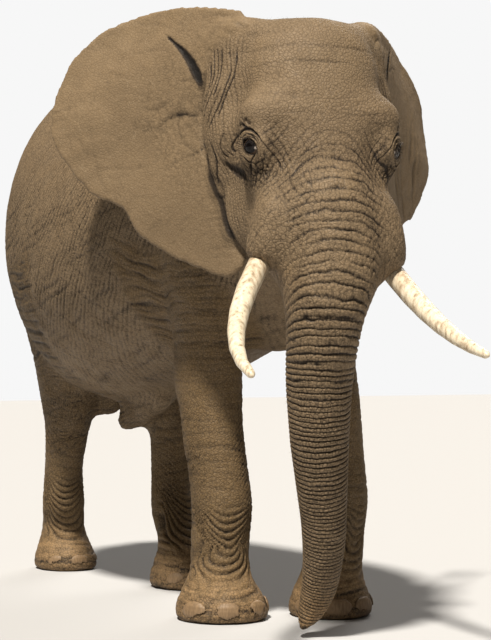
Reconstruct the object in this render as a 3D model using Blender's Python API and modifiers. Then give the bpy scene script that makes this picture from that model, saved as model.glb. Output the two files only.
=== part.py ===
"""A bull African bush elephant standing at rest, life size and hairless but for its tail tuft.

It faces -Y, +X is its left side and +Z is up. It is modelled with the ground point between its
forefeet at the origin, and moved at the end so that the middle of its bounding box's base is there.
The flesh is lofted limb by limb, fused and smoothed into one body, and then parted by thin cuts.
"""

import math

import bmesh
import bpy
import numpy as np
from mathutils import Matrix, Vector

# Sizes in metres, angles in degrees.
GAP = 0.0003  # clearance between neighbouring solids
VOXEL = 0.022  # grain of the fused flesh before it is thinned out
SMOOTHING = 9  # passes that blend the limbs into the trunk of the body
FLESH_FACES = 2800  # triangles kept on the fused flesh
AROUND = 32  # points round a lofted section

FORE_FOOT = {"right": (-0.264, 0.08), "left": (0.243, -0.08)}
FORE_SPREAD = {"right": 0.985, "left": 0.90}  # the foot that bears more weight is the wider
HIND_FOOT = {"right": (-0.090, 2.235), "left": (0.116, 1.16)}
SHOULDER = (0.34, 0.12)  # across and along, over each foreleg
HIP = (0.33, 1.80)
KNEES_IN = 0.022  # how far the hind knees stand inside the line of the leg
SOLE_DEPTH = 0.05  # length of foot made below the ground and cut off flat

HEAD_CENTRE = Vector((-0.252, -0.676, 0))  # the plumb line through the crown
HEAD_YAW = 15.9  # towards its right
EYE_RADIUS = 0.034
EYE_PLACE = (0.311, 0.215, 2.112)  # across, forward and up in the head's own frame

TUSK_RADIUS = 0.047
TUSK_ROOT = 0.16  # length hidden in the sheath
TUSK_TIP = {"right": (0.495, 0.888, 1.165), "left": (0.456, 0.888, 1.240)}
TUSK_EXIT = {"right": (0.306, 0.278, 1.605), "left": (0.306, 0.278, 1.568)}
TUSK_BEND = {"right": (0.150, 0.0, -0.100), "left": (0.015, 0.0, -0.090)}

EAR_HINGE = (0.430, -0.220)  # across and forward of the crown, in the head's own frame
EAR_PIVOT = 2.20  # height about which an ear droops
EAR_FOLD = {"right": 46.0, "left": 54.0}  # how far each ear lies back from straight out
EAR_DROOP = {"right": 0.0, "left": 8.0}  # how far its outer edge sinks
EAR_SINK = {"right": 0.0, "left": 0.20}  # how much of its height above the eye the top loses
EAR_THICK = 0.020

TAIL_ROOT = Vector((0.0, 2.24, 2.30))
TAIL_LENGTH = 1.12

NAIL_STEP = 46.0  # angle from nail to nail round a foot
FORE_NAILS = 4
HIND_NAILS = 3


def clear_scene():
    for obj in list(bpy.data.objects):
        bpy.data.objects.remove(obj, do_unlink=True)


def new_collection(name):
    made = bpy.data.collections.new(name)
    bpy.context.scene.collection.children.link(made)
    return made


def material(name, colour, roughness):
    made = bpy.data.materials.new(name)
    made.use_nodes = True
    shader = made.node_tree.nodes["Principled BSDF"]
    shader.inputs["Base Color"].default_value = (*colour, 1.0)
    shader.inputs["Roughness"].default_value = roughness
    shader.inputs["Metallic"].default_value = 0.0
    return made


# ---------------------------------------------------------------- meshes


def add_object(name, mesh, collection):
    made = bpy.data.objects.new(name, mesh)
    collection.objects.link(made)
    return made


def helper(name, mesh, collection):
    """An object that only cuts or is cut: it isn't part of the elephant."""
    made = add_object(name, mesh, collection)
    made.hide_render = True
    made.display_type = "WIRE"
    return made


def smooth_rows(rows, steps=5):
    """Rows of numbers with others between them, on Catmull-Rom curves through each column."""
    rows = np.array(rows, float)
    padded = np.vstack([2 * rows[0] - rows[1], rows, 2 * rows[-1] - rows[-2]])
    found = []
    for i in range(1, len(padded) - 2):
        before, start, end, after = padded[i - 1 : i + 3]
        for t in np.arange(steps) / steps:
            found.append(
                start
                + 0.5 * t * (end - before)
                + t * t * (before - 2.5 * start + 2 * end - 0.5 * after)
                + 0.5 * t**3 * (3 * (start - end) + after - before)
            )
    found.append(rows[-1])
    return np.array(found)


def loft_mesh(name, rings):
    """A closed skin over rings that have as many points each, with flat ends."""
    count, around = len(rings), len(rings[0])
    points = np.array(rings).reshape(-1, 3)
    faces = []
    for i in range(count - 1):
        low, high = i * around, (i + 1) * around
        for j in range(around):
            k = (j + 1) % around
            faces.append((low + j, low + k, high + k, high + j))
    faces.append(tuple(range(around))[::-1])
    faces.append(tuple((count - 1) * around + j for j in range(around)))
    mesh = bpy.data.meshes.new(name)
    mesh.from_pydata(points.tolist(), [], faces)
    face_outwards(mesh)
    return mesh


def face_outwards(mesh):
    work = bmesh.new()
    work.from_mesh(mesh)
    bmesh.ops.recalc_face_normals(work, faces=work.faces)
    work.to_mesh(mesh)
    work.free()


def oval(centre, across, along, half_across, half_along, around=AROUND):
    """Points round an oval in the plane of two unit vectors."""
    turn = np.arange(around) * 2 * math.pi / around
    return (
        np.array(centre)
        + np.outer(np.sin(turn) * half_across, across)
        + np.outer(np.cos(turn) * half_along, along)
    )


def ellipsoid(name, centre, radii, frame=Matrix.Identity(4)):
    work = bmesh.new()
    bmesh.ops.create_icosphere(work, subdivisions=3, radius=1.0)
    placed = frame @ Matrix.Translation(centre) @ Matrix.Diagonal((*radii, 1.0))
    bmesh.ops.transform(work, matrix=placed, verts=work.verts)
    mesh = bpy.data.meshes.new(name)
    work.to_mesh(mesh)
    work.free()
    return mesh


def tube_mesh(name, rows, around=AROUND, steps=5):
    """A round tube along rows of x, y, z and radius, each ring square to the path."""
    rows = smooth_rows(rows, steps)
    path = rows[:, :3]
    heading = np.gradient(path, axis=0)
    heading /= np.linalg.norm(heading, axis=1)[:, None]
    sideways = np.cross(heading, (0.0, 1.0, 0.0))
    sideways /= np.linalg.norm(sideways, axis=1)[:, None]
    rings = [
        oval(p, s, np.cross(h, s), r, r, around)
        for p, h, s, r in zip(path, heading, sideways, rows[:, 3])
    ]
    return loft_mesh(name, rings)


def evaluated_mesh(obj, name):
    """The object's mesh with its modifiers applied."""
    graph = bpy.context.evaluated_depsgraph_get()
    graph.update()
    return bpy.data.meshes.new_from_object(obj.evaluated_get(graph))


def apply_modifiers(obj):
    old = obj.data
    obj.data = evaluated_mesh(obj, old.name)
    obj.modifiers.clear()
    bpy.data.meshes.remove(old)


def boolean(obj, cutter, operation):
    step = obj.modifiers.new("cut", "BOOLEAN")
    step.operation = operation
    step.solver = "EXACT"
    step.object = cutter
    apply_modifiers(obj)


def grown(obj, name, by, collection):
    """A copy of a solid with its surface moved out."""
    made = helper(name, obj.data.copy(), collection)
    step = made.modifiers.new("grow", "DISPLACE")
    step.mid_level = 0.0
    step.strength = by
    apply_modifiers(made)
    return made


def half_space(point, normal, cutters):
    """A box large enough to hold all of the elephant beyond a plane."""
    size = 12.0
    work = bmesh.new()
    bmesh.ops.create_cube(work, size=size)
    turned = Vector(normal).normalized().to_track_quat("Z", "Y").to_matrix().to_4x4()
    placed = Matrix.Translation(point) @ turned @ Matrix.Translation((0, 0, size / 2))
    bmesh.ops.transform(work, matrix=placed, verts=work.verts)
    mesh = bpy.data.meshes.new("half_space")
    work.to_mesh(mesh)
    work.free()
    return helper("half_space", mesh, cutters)


def part_at(obj, name, point, normal, cutters, collection):
    """Cuts off what lies beyond a plane and returns it as a solid of its own."""
    along = Vector(normal).normalized()
    point = Vector(point)
    beyond = half_space(point, along, cutters)
    behind = half_space(point + GAP * along, -along, cutters)
    piece = add_object(name, obj.data.copy(), collection)
    boolean(piece, behind, "DIFFERENCE")
    boolean(obj, beyond, "DIFFERENCE")
    for cutter in (beyond, behind):
        bpy.data.objects.remove(cutter)
    return piece


def block_mesh(corners):
    """The convex solid over eight corners."""
    work = bmesh.new()
    for corner in corners:
        work.verts.new(corner)
    bmesh.ops.convex_hull(work, input=work.verts)
    mesh = bpy.data.meshes.new("block")
    work.to_mesh(mesh)
    work.free()
    face_outwards(mesh)
    return mesh


def part_block(obj, name, corners, cutters, collection):
    """Cuts off what lies inside a block and returns it as a solid of its own."""
    inside = helper("block", block_mesh(corners), cutters)
    outside = grown(inside, "block_grown", 2 * GAP, cutters)
    piece = add_object(name, obj.data.copy(), collection)
    boolean(piece, inside, "INTERSECT")
    boolean(obj, outside, "DIFFERENCE")
    for cutter in (inside, outside):
        bpy.data.objects.remove(cutter)
    return piece


# ---------------------------------------------------------------- trunk of the body


def torso():
    """Sections across the body: narrow at the spine, round at the ribs, with a saddle back."""
    stations = [
        # y, back, belly, half width, sharpness of the spine
        (-0.44, 2.36, 1.56, 0.24, 1.0),
        (-0.26, 2.63, 1.40, 0.39, 1.1),
        (0.04, 2.82, 1.31, 0.53, 1.25),
        (0.40, 2.80, 1.23, 0.63, 1.3),
        (0.80, 2.72, 1.13, 0.70, 1.3),
        (1.20, 2.71, 1.04, 0.725, 1.3),
        (1.55, 2.78, 0.995, 0.685, 1.15),
        (1.85, 2.80, 1.11, 0.620, 1.05),
        (2.10, 2.66, 1.35, 0.510, 1.0),
        (2.28, 2.38, 1.62, 0.37, 1.0),
        (2.38, 2.10, 1.82, 0.15, 1.0),
    ]
    turn = np.arange(AROUND) * 2 * math.pi / AROUND
    rings = []
    for y, back, belly, half_width, spine in smooth_rows(stations):
        waist = belly + 0.44 * (back - belly)
        up = np.cos(turn)
        reach = np.where(up > 0, back - waist, waist - belly)
        power = np.where(up > 0, spine, 0.9)
        side = np.sign(np.sin(turn)) * np.abs(np.sin(turn)) ** power
        rings.append(
            np.column_stack([half_width * side, np.full(AROUND, y), waist + reach * up])
        )
    return loft_mesh("torso", rings)


def sheath():
    """The fold under the belly, with its tip pointing back between the hind legs."""
    rows = [
        (0.0, 1.10, 1.06, 0.070),
        (0.0, 1.30, 0.985, 0.090),
        (0.0, 1.48, 0.930, 0.086),
        (0.0, 1.60, 0.875, 0.062),
        (0.0, 1.66, 0.840, 0.034),
    ]
    return [
        tube_mesh("sheath", rows),
        ellipsoid("groin_fold", (0.0, 1.84, 1.01), (0.085, 0.18, 0.115)),
    ]


def foreleg_stations(side):
    sign = -1 if side == "right" else 1
    foot_x, foot_y = FORE_FOOT[side]
    top_x, top_y = sign * SHOULDER[0], SHOULDER[1]
    wide = FORE_SPREAD[side]
    bow = 0.034 if side == "left" else 0.0
    return [
        # x, y, z, half width across, half width along
        (foot_x, foot_y - 0.015, -SOLE_DEPTH, 0.216 * wide, 0.222 * wide),
        (foot_x, foot_y - 0.015, 0.03, 0.228 * wide, 0.238 * wide),
        (foot_x + 0.2 * bow, foot_y - 0.005, 0.12, 0.198 * wide, 0.208 * wide),
        (foot_x + 0.6 * bow, foot_y, 0.22, 0.143, 0.156),
        (foot_x + bow, foot_y, 0.37, 0.139, 0.152),
        (foot_x + 1.3 * bow, foot_y - 0.015, 0.54, 0.142, 0.162),
        (foot_x + sign * 0.018 + 0.6 * bow, foot_y + 0.005, 0.80, 0.134, 0.157),
        (foot_x + sign * 0.028, foot_y + 0.030, 1.05, 0.136, 0.168),
        (0.5 * (foot_x + top_x) - 0.4 * bow, 0.5 * (foot_y + top_y) + 0.02, 1.30, 0.153, 0.205),
        (top_x - sign * 0.02, 0.3 * foot_y + 0.7 * top_y - 0.02, 1.60, 0.200, 0.285),
        (top_x, top_y - 0.02, 1.95, 0.215, 0.330),
        (top_x, top_y + 0.03, 2.25, 0.165, 0.270),
        (top_x - sign * 0.05, top_y + 0.07, 2.46, 0.080, 0.140),
    ]


def hindleg_stations(side):
    sign = -1 if side == "right" else 1
    foot_x, foot_y = HIND_FOOT[side]
    top_x, top_y = sign * HIP[0], HIP[1]

    def on_line(z, back, half_across, half_along):
        """A station set back from the straight line between the foot and the hip joint."""
        t = z / 1.9
        x = foot_x + (top_x - foot_x) * t - sign * KNEES_IN * math.sin(math.pi * t)
        y = foot_y + (top_y - foot_y) * t
        return (x, y + back, z, half_across, half_along)

    return [
        # x, y, z, half width across, half width along
        (foot_x, foot_y - 0.02, -SOLE_DEPTH, 0.170, 0.200),
        (foot_x, foot_y - 0.02, 0.03, 0.184, 0.216),
        (foot_x, foot_y - 0.01, 0.12, 0.160, 0.186),
        (foot_x, foot_y + 0.01, 0.23, 0.122, 0.142),
        on_line(0.38, 0.020, 0.122, 0.145),
        on_line(0.60, 0.015, 0.108, 0.132),
        on_line(0.80, -0.030, 0.118, 0.160),
        on_line(1.00, -0.065, 0.148, 0.215),
        on_line(1.25, -0.090, 0.190, 0.300),
        on_line(1.60, -0.050, 0.240, 0.380),
        on_line(1.95, 0.000, 0.255, 0.380),
        on_line(2.22, 0.010, 0.190, 0.290),
        on_line(2.40, 0.000, 0.080, 0.130),
    ]


def leg_mesh(name, stations, swell=0.0, around=AROUND, steps=5):
    """Level sections of a leg; swell widens them for the outline that cuts the leg free."""
    rings = []
    for x, y, z, half_across, half_along in smooth_rows(stations, steps):
        across, along = half_across + swell, half_along + swell
        rings.append(oval((x, y, z), (1, 0, 0), (0, 1, 0), across, along, around))
    return loft_mesh(name, rings)


# ---------------------------------------------------------------- head


def head_frame():
    """The head's own frame: +X its left, +Y behind it, +Z up, on the plumb line of the crown."""
    return Matrix.Translation(HEAD_CENTRE) @ Matrix.Rotation(
        math.radians(-HEAD_YAW), 4, "Z"
    )


def in_head(across, forward, up):
    return head_frame() @ Vector((across, -forward, up))


def neck():
    """Sections between the shoulders and the back of the head."""
    start = np.array((0.0, 0.10, 1.98))
    end = np.array(in_head(0.0, -0.02, 2.12))
    along = (end - start) / np.linalg.norm(end - start)
    across = np.cross(along, (0.0, 0.0, 1.0))
    across /= np.linalg.norm(across)
    sections = [
        # share of the way, drop of the middle, half width, half height
        (0.0, -0.02, 0.44, 0.74),
        (0.35, -0.02, 0.38, 0.66),
        (0.7, 0.0, 0.33, 0.56),
        (1.0, 0.02, 0.28, 0.46),
    ]
    rings = []
    for share, drop, half_width, half_height in smooth_rows(sections):
        middle = start + share * (end - start) + (0.0, 0.0, drop)
        rings.append(
            oval(middle, across, np.cross(across, along), half_width, half_height)
        )
    return loft_mesh("neck", rings)


def skull():
    """Level sections of the head, from the crown down to the roots of the tusks."""
    stations = [
        # height, face, nape, widest point, half width, bluntness
        (2.700, 0.08, -0.24, -0.06, 0.13, 0.95),
        (2.672, 0.14, -0.31, -0.05, 0.215, 0.95),
        (2.600, 0.20, -0.35, -0.04, 0.272, 0.92),
        (2.480, 0.255, -0.38, -0.02, 0.292, 0.88),
        (2.330, 0.300, -0.40, 0.02, 0.298, 0.82),
        (2.190, 0.330, -0.40, 0.00, 0.318, 0.80),
        (2.070, 0.355, -0.38, -0.04, 0.312, 0.82),
        (1.950, 0.390, -0.34, -0.04, 0.290, 0.84),
        (1.820, 0.420, -0.28, 0.04, 0.290, 0.86),
        (1.700, 0.420, -0.20, 0.12, 0.270, 0.95),
        (1.600, 0.380, -0.10, 0.12, 0.220, 1.0),
    ]
    turn = np.arange(AROUND) * 2 * math.pi / AROUND
    rings = []
    for up, face, nape, widest, half_width, blunt in smooth_rows(stations):
        ahead = np.cos(turn)
        reach = np.where(ahead > 0, face - widest, widest - nape)
        side = np.sign(np.sin(turn)) * np.abs(np.sin(turn)) ** blunt
        rings.append(
            [
                in_head(half_width * s, widest + r * a, up)
                for s, r, a in zip(side, reach, ahead)
            ]
        )
    return loft_mesh("skull", rings)


def face_masses():
    """Brows, cheekbones, the fleshy bases of the ears and the tusk sheaths."""
    frame = head_frame()
    made = []
    for sign in (-1, 1):
        made.append(
            ellipsoid("brow", (sign * 0.196, -0.105, 2.240), (0.150, 0.180, 0.150), frame)
        )
        across, ahead, up = EYE_PLACE
        orbit = (sign * (across - 0.030), 0.022 - ahead, up)
        made.append(ellipsoid("orbit", orbit, (0.066, 0.080, 0.082), frame))
        made.append(
            ellipsoid("cheek", (sign * 0.270, -0.060, 2.030), (0.068, 0.200, 0.110), frame)
        )
        made.append(
            ellipsoid("ear_base", (sign * 0.285, 0.150, 2.290), (0.155, 0.200, 0.330), frame)
        )
        made.append(
            ellipsoid("jaw_angle", (sign * 0.215, 0.060, 1.930), (0.125, 0.190, 0.300), frame)
        )
    for side, exit_at in TUSK_EXIT.items():
        sign = -1 if side == "right" else 1
        across, forward, up = exit_at
        rows = [
            (*in_head(sign * 0.14, 0.18, 2.00), 0.125),
            (*in_head(sign * 0.183, 0.262, 1.84), 0.134),
            (*in_head(sign * (across - 0.066), forward - 0.03, up + 0.10), 0.112),
            (*in_head(sign * (across - 0.012), forward, up), 0.068),
        ]
        made.append(tube_mesh("tusk_sheath", rows))
    return made


def jaw():
    """The lower jaw: a deep wedge that narrows to the pointed lower lip."""
    rows = [
        (*in_head(0, -0.20, 1.80), 0.21),
        (*in_head(0, -0.06, 1.66), 0.17),
        (*in_head(0, 0.06, 1.53), 0.120),
        (*in_head(0, 0.13, 1.44), 0.075),
        (*in_head(0, 0.17, 1.37), 0.035),
    ]
    return tube_mesh("jaw", rows)


def trunk_rows():
    """The trunk's path and radius, hanging from the face to just above the ground."""
    hang = [
        # across, forward, up, radius: in the head's own frame
        (0.0, 0.210, 1.95, 0.215),
        (0.0, 0.262, 1.78, 0.225),
        (0.0, 0.282, 1.60, 0.223),
    ]
    free = [
        (-0.372, -0.985, 1.40, 0.168),
        (-0.356, -0.920, 1.15, 0.146),
        (-0.318, -0.860, 0.90, 0.130),
        (-0.262, -0.800, 0.66, 0.112),
        (-0.214, -0.740, 0.44, 0.097),
        (-0.186, -0.672, 0.26, 0.086),
        (-0.190, -0.622, 0.15, 0.074),
        (-0.212, -0.604, 0.085, 0.057),
        (-0.256, -0.626, 0.042, 0.032),
        (-0.290, -0.640, 0.026, 0.014),
    ]
    return [(*in_head(a, f, u), r) for a, f, u, r in hang] + free


def tail_rows():
    """The tail's path and radius, hanging down behind the rump."""
    x, y, z = TAIL_ROOT
    rows = []
    for share, back, radius in (
        (0.0, -0.02, 0.075),
        (0.12, 0.13, 0.058),
        (0.30, 0.185, 0.043),
        (0.60, 0.205, 0.030),
        (1.0, 0.195, 0.021),
    ):
        rows.append((x, y + back, z - share * TAIL_LENGTH, radius))
    return rows


def tail(body_skin, collection):
    made = add_object("tail", tube_mesh("tail", tail_rows(), around=10, steps=2), collection)
    boolean(made, body_skin, "DIFFERENCE")
    keep_largest(made)
    return made


# ---------------------------------------------------------------- ears, tusks, eyes and nails


def ear_rim():
    """The edge of an ear, from its top root round to its lobe: distance out and height."""
    return smooth_rows(
        [
            (-0.20, 2.745),
            (0.00, 2.785),
            (0.27, 2.805),
            (0.56, 2.755),
            (0.75, 2.62),
            (0.85, 2.45),
            (0.880, 2.30),
            (0.80, 2.17),
            (0.66, 2.00),
            (0.46, 1.91),
            (0.37, 1.79),
            (0.20, 1.69),
            (0.02, 1.62),
            (-0.14, 1.575),
            (-0.22, 1.62),
        ],
        2,
    )


def ear_root():
    """The ear's inner margin, inside the head: distance out and height."""
    return np.array([(-0.29, 2.64), (-0.12, 2.50), (-0.10, 2.20), (-0.19, 1.95), (-0.27, 1.72)])


def ear_surface(side):
    """Places an ear's flat pattern in space: swung back, drooped and gently cupped."""
    sign = -1 if side == "right" else 1
    across, forward = EAR_HINGE
    fold = math.radians(EAR_FOLD[side])
    droop = math.radians(EAR_DROOP[side])
    out = Vector((math.cos(fold), -math.sin(fold)))
    facing = Vector((math.sin(fold), math.cos(fold)))

    def place(reach, up):
        rise = up - EAR_PIVOT
        free = min(1.0, max(0.0, reach / 0.25))
        far = reach * math.cos(droop) + rise * math.sin(droop) * free
        high = rise * math.cos(droop) - reach * math.sin(droop)
        cup = -0.055 * math.sin(math.pi * min(1.0, max(0.0, reach / 0.88)))
        curl = -0.9 * max(0.0, reach - 0.62) ** 2 - 0.5 * max(0.0, rise - 0.36) ** 2
        ripple = 0.014 * math.sin(10.0 * up + 5.0 * reach) * free
        bow = cup + curl + ripple
        return in_head(
            sign * (across + far * out.x + bow * facing.x),
            forward + far * out.y + bow * facing.y,
            EAR_PIVOT + high - EAR_SINK[side] * max(0.0, rise - 0.30),
        )

    return place


def ear(side, body_skin, collection):
    """A grid drawn out from the root line to the rim, then thickened."""
    rim = ear_rim()
    place = ear_surface(side)
    rows = len(rim)
    columns = 5
    share = np.linspace(0.0, 1.0, rows)
    root = ear_root()
    knots = np.linspace(0.0, 1.0, len(root))
    inner = np.column_stack([np.interp(share, knots, root[:, k]) for k in (0, 1)])
    work = bmesh.new()
    bmesh.ops.create_grid(work, x_segments=rows - 1, y_segments=columns - 1, size=0.5)
    for vert in work.verts:
        i = round((vert.co.x + 0.5) * (rows - 1))
        out = (vert.co.y + 0.5) ** 0.85
        reach, up = inner[i] + (rim[i] - inner[i]) * out
        vert.co = place(reach, up)
    mesh = bpy.data.meshes.new(f"ear_{side}")
    work.to_mesh(mesh)
    work.free()
    face_outwards(mesh)
    made = add_object(f"ear_{side}", mesh, collection)
    step = made.modifiers.new("thickness", "SOLIDIFY")
    step.thickness = EAR_THICK
    step.offset = 0.0
    apply_modifiers(made)
    boolean(made, body_skin, "DIFFERENCE")
    keep_largest(made)
    return made


def keep_largest(obj):
    """Drops the scraps that a cut leaves, such as an ear's root on the far side of the neck."""
    work = bmesh.new()
    work.from_mesh(obj.data)
    left = set(work.verts)
    groups = []
    while left:
        stack = [left.pop()]
        group = set(stack)
        while stack:
            for edge in stack.pop().link_edges:
                for vert in edge.verts:
                    if vert not in group:
                        group.add(vert)
                        left.discard(vert)
                        stack.append(vert)
        groups.append(group)
    groups.sort(key=len)
    for group in groups[:-1]:
        bmesh.ops.delete(work, geom=list(group), context="VERTS")
    work.to_mesh(obj.data)
    work.free()


def tusk_mesh(side, swell=0.0):
    """A tusk on one smooth bend from inside its sheath to its blunt tip."""
    sign = -1 if side == "right" else 1
    start = np.array(TUSK_EXIT[side])
    end = np.array(TUSK_TIP[side])
    middle = 0.5 * (start + end) + np.array(TUSK_BEND[side])
    rows = []
    inward = (start - middle) / np.linalg.norm(start - middle)
    rows.append((*(start + (TUSK_ROOT + swell) * inward), TUSK_RADIUS))
    for t in np.linspace(0.0, 1.0, 7):
        point = (1 - t) ** 2 * start + 2 * t * (1 - t) * middle + t * t * end
        rows.append((*point, TUSK_RADIUS * (1.0 - 0.62 * t**1.6)))
    placed = [(*in_head(sign * a, f, u), r + swell) for a, f, u, r in rows]
    x, y, z, radius = placed[-1]
    tip = Vector((x, y, z)) + 0.02 * (Vector(placed[-1][:3]) - Vector(placed[-2][:3])).normalized()
    placed.append((*tip, 0.35 * radius))
    return tube_mesh("tusk", placed, around=12, steps=1)


def eye_mesh(side, swell=0.0):
    sign = -1 if side == "right" else 1
    across, forward, up = EYE_PLACE
    radius = EYE_RADIUS + swell
    work = bmesh.new()
    bmesh.ops.create_uvsphere(work, u_segments=10, v_segments=6, radius=radius)
    placed = Matrix.Translation(in_head(sign * across, forward, up))
    bmesh.ops.transform(work, matrix=placed, verts=work.verts)
    mesh = bpy.data.meshes.new("eye")
    work.to_mesh(mesh)
    work.free()
    return mesh


def nails(name, foot, count, radii, body_skin, collection):
    """Rounded nails set round the front of a foot, each trimmed by the foot it sits on."""
    made = []
    for i in range(count):
        turn = math.radians((i - (count - 1) / 2) * NAIL_STEP)
        out = Vector((math.sin(turn), -math.cos(turn), 0.0))
        spot = Vector((foot[0] + out.x * radii[0], foot[1] - 0.015 + out.y * radii[1], 0.052))
        frame = Matrix.Translation(spot) @ Matrix.Rotation(turn, 4, "Z")
        size = (0.056, 0.026, 0.047) if count == FORE_NAILS else (0.050, 0.024, 0.043)
        mesh = bpy.data.meshes.new(f"{name}_{i + 1}")
        work = bmesh.new()
        bmesh.ops.create_uvsphere(work, u_segments=10, v_segments=6, radius=1.0)
        bmesh.ops.transform(
            work, matrix=frame @ Matrix.Diagonal((*size, 1.0)), verts=work.verts
        )
        work.to_mesh(mesh)
        work.free()
        nail = add_object(f"{name}_{i + 1}", mesh, collection)
        boolean(nail, body_skin, "DIFFERENCE")
        keep_largest(nail)
        made.append(nail)
    return made


def tail_tuft(tail_part, cutters, collection):
    """The solid that the wiry hairs fill: they start as a sleeve round the tail's end."""
    x, y, z, radius = tail_rows()[-1]
    rows = [
        (x, y, z + 0.04, 1.3 * radius),
        (x, y, z - 0.08, 0.036),
        (x, y - 0.005, z - 0.18, 0.044),
        (x, y - 0.01, z - 0.28, 0.030),
        (x, y - 0.01, z - 0.34, 0.010),
    ]
    tuft = add_object("tail_tuft", tube_mesh("tail_tuft", rows, around=8, steps=2), collection)
    inside = grown(tail_part, "tail_grown", GAP, cutters)
    boolean(tuft, inside, "DIFFERENCE")
    bpy.data.objects.remove(inside)
    return tuft


# ---------------------------------------------------------------- assembly


def fused_flesh(cutters):
    """Every mass of flesh but the ears, melted into one smooth body with flat soles."""
    masses = [torso(), neck(), skull(), jaw(), *sheath(), *face_masses()]
    for side in ("right", "left"):
        masses.append(leg_mesh("foreleg", foreleg_stations(side)))
        masses.append(leg_mesh("hindleg", hindleg_stations(side)))
    masses.append(tube_mesh("trunk", trunk_rows()))
    work = bmesh.new()
    for mass in masses:
        work.from_mesh(mass)
        bpy.data.meshes.remove(mass)
    mesh = bpy.data.meshes.new("flesh")
    work.to_mesh(mesh)
    work.free()
    flesh = helper("flesh", mesh, cutters)
    remesh = flesh.modifiers.new("fuse", "REMESH")
    remesh.mode = "VOXEL"
    remesh.voxel_size = VOXEL
    smooth = flesh.modifiers.new("blend", "SMOOTH")
    smooth.factor = 0.5
    smooth.iterations = SMOOTHING
    apply_modifiers(flesh)
    thin = flesh.modifiers.new("thin", "DECIMATE")
    thin.ratio = FLESH_FACES / (2 * len(flesh.data.polygons))
    apply_modifiers(flesh)
    ground = half_space((0, 0, 0), (0, 0, -1), cutters)
    boolean(flesh, ground, "DIFFERENCE")
    bpy.data.objects.remove(ground)
    return flesh


def leg_block(side, foot, inner, top, height):
    """Corners of the block that frees a leg: it follows the leg up to a slanting top."""
    sign = -1 if side == "right" else 1
    corners = []
    for x, y, z, reach in (
        (-inner, foot[1], -0.1, 0.36),
        (1.10, foot[1], -0.1, 0.36),
        (0.01, top[0], height[0], top[1]),
        (1.10, top[0], height[1], top[1]),
    ):
        corners.append((sign * x, y - reach, z))
        corners.append((sign * x, y + reach, z))
    return corners


def part_leg(flesh, name, corners, knee, ankle, cutters, collection):
    """Frees a leg from the body and divides it at the knee and the ankle."""
    upper = part_block(flesh, f"{name}_upper", corners, cutters, collection)
    lower = part_at(upper, f"{name}_lower", (0, 0, knee), (0, 0, -1), cutters, collection)
    foot = part_at(lower, f"{name}_foot", (0, 0, ankle), (0, 0, -1), cutters, collection)
    return [upper, lower, foot]


def part_legs(flesh, cutters, collection):
    made = []
    for side in ("right", "left"):
        block = leg_block(side, FORE_FOOT[side], 0.0, (0.10, 0.40), (1.16, 2.30))
        name = f"foreleg_{side}"
        made += part_leg(flesh, name, block, 0.66, 0.20, cutters, collection)
        block = leg_block(side, HIND_FOOT[side], 0.12, (1.76, 0.46), (1.04, 2.20))
        name = f"hindleg_{side}"
        made += part_leg(flesh, name, block, 0.80, 0.20, cutters, collection)
    return made


def part_head(flesh, cutters, collection):
    """Frees the head, its jaw and the lengths of the trunk."""
    forward = in_head(0, 1, 0) - in_head(0, 0, 0)
    nape = forward + Vector((0, -1, 0))
    head = part_at(flesh, "head", in_head(0, -0.36, 2.1), nape, cutters, collection)
    mouth = [
        in_head(across, ahead, up)
        for across in (-0.6, 0.6)
        for ahead, up in ((-0.6, 1.90), (-0.6, 1.33), (0.14, 1.33), (0.14, 1.485))
    ]
    chin = part_block(head, "jaw", mouth, cutters, collection)
    made = [head, chin]
    piece = head
    for name, height in (("upper", 1.49), ("middle", 1.05), ("lower", 0.58), ("tip", 0.20)):
        piece = part_at(
            piece, f"trunk_{name}", (0, 0, height), (0, 0, -1), cutters, collection
        )
        made.append(piece)
    return made


def part_torso(flesh, cutters, collection):
    """Divides what is left into neck, chest, belly and rump."""
    neck_part = part_at(flesh, "neck", (0, -0.16, 2.0), (-0.25, -1, 0.12), cutters, collection)
    belly = part_at(flesh, "belly", (0, 0.56, 0), (0, 1, 0), cutters, collection)
    rump = part_at(belly, "rump", (0, 1.50, 0), (0, 1, 0), cutters, collection)
    flesh.name = "chest"
    cutters.objects.unlink(flesh)
    collection.objects.link(flesh)
    flesh.hide_render = False
    flesh.display_type = "TEXTURED"
    return [neck_part, belly, rump, flesh]


def finish(objects, look):
    for obj in objects:
        keep_largest(obj)
        obj.data.materials.clear()
        obj.data.materials.append(look)
        obj.data.name = obj.name
        obj.data.shade_smooth()
        obj.data.set_sharp_from_angle(angle=math.radians(50))


def move_origin(objects):
    """Moves the whole so that the middle of its bounding box's base is the origin."""
    corners = np.array([v.co for obj in objects for v in obj.data.vertices])
    low, high = corners.min(axis=0), corners.max(axis=0)
    shift = Matrix.Translation((-(low[0] + high[0]) / 2, -(low[1] + high[1]) / 2, -low[2]))
    for obj in objects:
        obj.data.transform(shift)


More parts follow.
